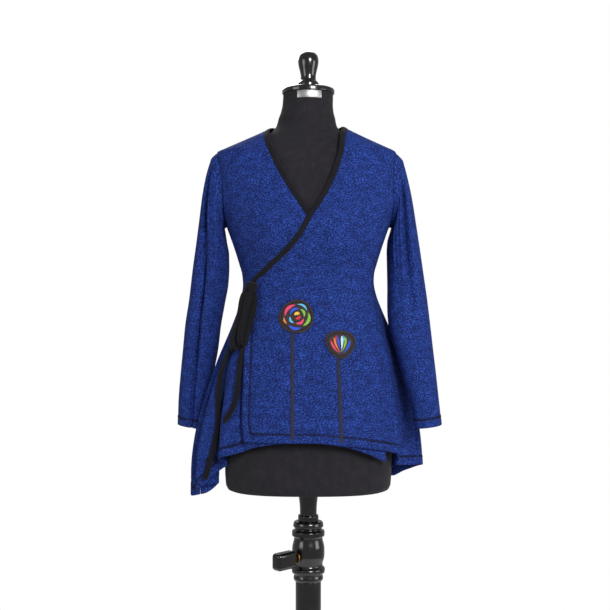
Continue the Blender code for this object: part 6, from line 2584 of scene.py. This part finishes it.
PETAL_COLOURS = {name: SatinThread(f"petal_{name}", shown(*shade), fleck=shown(*shade), row=PETAL_ROW)
                 for name, shade in PETAL_SHADES.items()}

ROUND_PETALS = table(Petal, ((-0.78, 0.02), (-0.1, 0.8), 0.22, 0.24, "rose"),
    ((0.02, 0.84), (0.7, 0.4), 0.2, 0.15, "sky"), ((0.8, 0.26), (0.42, -0.66), 0.22, 0.24, "leaf"),
    ((0.3, -0.78), (-0.5, -0.62), 0.2, 0.22, "blue"), ((-0.62, -0.52), (-0.82, -0.08), 0.16, 0.13, "orange"),
    ((-0.44, 0.1), (0.14, 0.52), 0.26, 0.2, "blue"), ((0.22, 0.5), (0.5, -0.04), 0.22, 0.18, "leaf"),
    ((0.46, -0.16), (-0.08, -0.48), 0.26, 0.2, "rose"), ((-0.18, -0.46), (-0.44, -0.02), 0.22, 0.16, "sky"),
    ((-0.16, 0.06), (0.2, 0.16), 0.24, 0.24, "yellow"), ((0.22, 0.06), (-0.1, -0.14), 0.26, 0.2, "red"))

TULIP_PETALS = table(Petal, ((-0.06, -0.74), (-0.74, 0.42), 0.1, 0.17, "rose", 0.62),
    ((-0.02, -0.66), (-0.46, 0.66), 0.07, 0.17, "orange", 0.66),
    ((0, -0.6), (-0.16, 0.78), 0.03, 0.17, "blue", 0.66),
    ((0.04, -0.6), (0.16, 0.78), -0.03, 0.2, "ice", 0.7),
    ((0.06, -0.66), (0.46, 0.66), -0.07, 0.17, "leaf", 0.66),
    ((0.1, -0.74), (0.74, 0.42), -0.1, 0.17, "blue", 0.62), ((-0.3, 0.3), (-0.28, 0.8), 0.05, 0.11, "red"),
    ((0.31, 0.3), (0.3, 0.8), -0.05, 0.1, "sky"))


@dataclass
class Garment:
    """The whole cardigan: panels, sleeves, bindings, tie, flowers and stitching."""

    def knit(self, name: str, flat: Pair, area: float, *rests_on: str) -> ClothPiece:
        """A piece of the blue knit."""
        return ClothPiece(name, flat, "draped", rests_on, "cloth", MELANGE, area)

    def jersey(self, name: str, flat: Pair, held: str, *rests_on: str) -> ClothPiece:
        """A piece of the black jersey."""
        finish = BINDING_JERSEY if held == "stretched" else TIE_JERSEY
        return ClothPiece(name, flat, held, rests_on, "binding", finish)

    def fronts(self) -> tuple[FrontPanel, FrontPanel]:
        """The front worn over and the front worn under.

        Returns:
            Both fronts.
        """
        on_form = "form_torso"
        over_front = FrontPanel(Side.LEFT, OVER_EDGE, OVER_FREE_EDGE, OVER_HEM_AT, CREASES_BODY,
                                self.knit("front_left", (0.430, 0.750), 0.208, on_form),
                                self.jersey("binding_left", (0.440, 0.014), "stretched", "front_left"))
        under_front = FrontPanel(Side.RIGHT, UNDER_EDGE, UNDER_FREE_EDGE, HEM_AT,
                                 CREASES_BODY + CREASES_UNDER,
                                 self.knit("front_right", (0.440, 0.780), 0.228, on_form),
                                 self.jersey("binding_right", (0.440, 0.014), "stretched", "front_right"))
        return over_front, under_front

    def build(self) -> list[Piece]:
        """Builds the garment, piece by piece.

        Returns:
            The pieces.
        """
        made = []
        stitch = CoverStitch(COVER_THREAD)
        fronts = self.fronts()
        back = BackPanel(CREASES_BODY, self.knit("back", (0.580, 0.780), 0.339, "form_torso"),
                         self.jersey("binding_back", (0.215, 0.0134), "stretched", "back"))
        for panel in (*fronts, back):
            wall = panel.wall()
            sewing = stitch.on_panel(f"{panel.cloth.name}_sewing", panel)
            panel.cloth.dress(wall, [sewing])
            band = panel.band()
            panel.binding.dress(band)
            made += [wall, sewing, band]
        for side, cuffs, folds, creases in (
                (Side.LEFT, LEFT_SLEEVE, LEFT_SLEEVE_FOLDS, LEFT_SLEEVE_CREASES),
                (Side.RIGHT, RIGHT_SLEEVE, RIGHT_SLEEVE_FOLDS, RIGHT_SLEEVE_CREASES)):
            name = f"sleeve_{side.name.lower()}"
            sleeve = Sleeve(side, cuffs, folds, creases,
                            self.knit(name, (0.330, 0.620), 0.141, "form_torso", "back"))
            wall = sleeve.wall()
            sewing = stitch.on_cuff(f"{name}_sewing", sleeve)
            sleeve.cloth.dress(wall, [sewing])
            made += [wall, sewing]
        made += self.tie()
        for flower in self.flowers(fronts[0]):
            made += flower.build()
        return made

    def tie(self) -> list[Piece]:
        """The knot, two loops and two ends at the wearer's right waist.

        Returns:
            The pieces.
        """
        made = []
        for name, route, flat, width, looped, sway in (
                ("tie_loop_outer", OUTER_LOOP, (0.0185, 0.270), LOOP_WIDTH, True, 0.0),
                ("tie_loop_inner", INNER_LOOP, (0.0185, 0.240), LOOP_WIDTH, True, 1.7),
                ("tie_end_long", LONG_TAIL, (0.0142, 0.410), END_WIDTH, False, 2.9),
                ("tie_end_short", SHORT_TAIL, (0.0142, 0.285), END_WIDTH, False, 4.1)):
            strip = TieStrip(route, self.jersey(name, flat, "hung", "tie_knot"), width, looped, sway)
            made.append(strip.build())
            strip.cloth.dress(made[-1])
        knot = Knot(self.jersey("tie_knot", (0.050, 0.050), "folded", "front_left"))
        lump = dress(knot.build(), TIE_JERSEY, "tie_knot")
        return [*made, lump]

    def flowers(self, panel: FrontPanel) -> tuple[Flower, Flower]:
        """The two flowers on the front that is worn over.

        Args:
            panel: that front.

        Returns:
            Both flowers.
        """
        finishes = PATCH_GROUND, OUTLINE_THREAD, STEM_THREAD, PETAL_COLOURS
        return (Flower("flower_round", "stem_round", panel, ROUND_FLOWER, ROUND_HALF, round_outline,
                       ROUND_PETALS, ROUND_STEM, *finishes),
                Flower("flower_tulip", "stem_tulip", panel, TULIP_FLOWER, TULIP_HALF, tulip_outline,
                       TULIP_PETALS, TULIP_STEM, *finishes))


@dataclass
class DressForm:
    """The limbless form: padded body, cap, finial, plate and the ferrule under it."""

    def build(self) -> list[Piece]:
        """Builds the form from the body up and down.

        Returns:
            The pieces.
        """
        look = "form", "black_gloss", LACQUER
        return [Torso(FORM_JERSEY).build(),
                TurnedPiece("form_cap", "neck_cap", NECK_CAP, *look, 0.0005, 96).build(),
                TurnedPiece("form_finial", "finial", FINIAL, *look, 0.0004).build(),
                TurnedPiece("form_ferrule", "ferrule", FERRULE, *look, 0.0004).build(),
                NeckPlate(PLATE_STEEL).build()]


@dataclass
class Stand:
    """The turned pole, its clamp, the mast inside it and the base."""

    def build(self) -> list[Piece]:
        """Builds the stand from the base up.

        Returns:
            The pieces.
        """
        clamp = Clamp(LACQUER, WASHER_BRASS)
        return [TurnedPiece("stand_base", "base", BASE, "stand", "iron", IRON, 0.0012, 112).build(),
                TurnedPiece("stand_pole", "lower_pole", LOWER_POLE, "stand", "black_gloss", LACQUER).build(),
                TurnedPiece("stand_head", "pole_head", POLE_HEAD, "stand", "black_gloss", LACQUER).build(),
                TurnedPiece("stand_mast", "mast", MAST, "mast", "steel", MAST_STEEL, 0.0003).build(),
                clamp.knob(), clamp.washer()]


@dataclass
class Studio:
    """The camera, the soft lights and the pale floor."""

    camera_place: Triple = (-0.00703, -2.3, 1.061)
    half_view: float = 0.6497
    floor_radius: float = 1.15
    sky_light: float = 0.31
    lights: tuple[tuple[str, Triple, float, float], ...] = (
        ("fill_left", (-2.3, -1.6, 1.5), 1.3, 16.0),
        ("key_front", (1.0, -2.7, 2.1), 0.9, 78.0),
        ("fill_right", (2.4, -0.9, 1.2), 1.2, 16.0),
        ("rim_back", (-0.4, 1.8, 2.6), 1.2, 26.0),
    )

    def build(self) -> None:
        """Sets the camera, the lights, the world and the floor."""
        data = bpy.data.cameras.new("photo_view")
        camera = placed("photo_view", data)
        camera.location, camera.rotation_euler = self.camera_place, (math.pi / 2, 0.0, 0.0)
        data.sensor_fit, data.angle = "HORIZONTAL", 2 * math.atan(self.half_view / -self.camera_place[1])
        bpy.context.scene.camera = camera
        for name, place, size, power in self.lights:
            light = bpy.data.lights.new(name, "AREA")
            light.size, light.energy = size, power
            lamp = placed(name, light)
            lamp.location = place
            aim = Vector((0.0, 0.0, 1.0)) - Vector(place)
            lamp.rotation_euler = aim.to_track_quat("-Z", "Y").to_euler()
        self.sky()
        self.floor()
        bpy.context.scene.view_settings.view_transform = "Standard"

    def sky(self) -> None:
        """Even soft light from all round, on a white ground."""
        world = bpy.data.worlds.new("white_studio")
        world.use_nodes = True
        tree = world.node_tree
        ground, soft = tree.nodes["Background"], tree.nodes.new("ShaderNodeBackground")
        for background, strength in ((ground, 1.0), (soft, self.sky_light)):
            background.inputs["Color"].default_value = (1.0, 1.0, 1.0, 1.0)
            background.inputs["Strength"].default_value = strength
        path, both = tree.nodes.new("ShaderNodeLightPath"), tree.nodes.new("ShaderNodeMixShader")
        tree.links.new(path.outputs["Is Camera Ray"], both.inputs[0])
        tree.links.new(soft.outputs[0], both.inputs[1])
        tree.links.new(ground.outputs[0], both.inputs[2])
        tree.links.new(both.outputs[0], tree.nodes["World Output"].inputs["Surface"])
        bpy.context.scene.world = world

    def floor(self) -> None:
        """A round pale floor under the base."""
        select_none()
        bpy.ops.mesh.primitive_circle_add(vertices=96, radius=self.floor_radius, fill_type="NGON",
                                          location=(0, 0, -0.001))
        made = bpy.context.object
        made.name = "studio_floor"
        apply_transform()
        FLOOR.put_on(made)
        made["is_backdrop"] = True


def corners() -> list[list[float]]:
    """The whole object's lowest and highest corners as plain numbers."""
    return [[float(part) for part in corner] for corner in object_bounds()]


def main() -> None:
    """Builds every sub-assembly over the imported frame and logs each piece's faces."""
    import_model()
    Studio().build()
    for assembly in (DressForm(), Stand(), Garment()):
        for piece in assembly.build():
            LOG.info("%s: %s, %d faces", type(assembly).__name__, piece.name, len(piece.data.polygons))


if __name__ == "__main__":
    logging.basicConfig(level=logging.INFO, format="%(message)s")
    main()
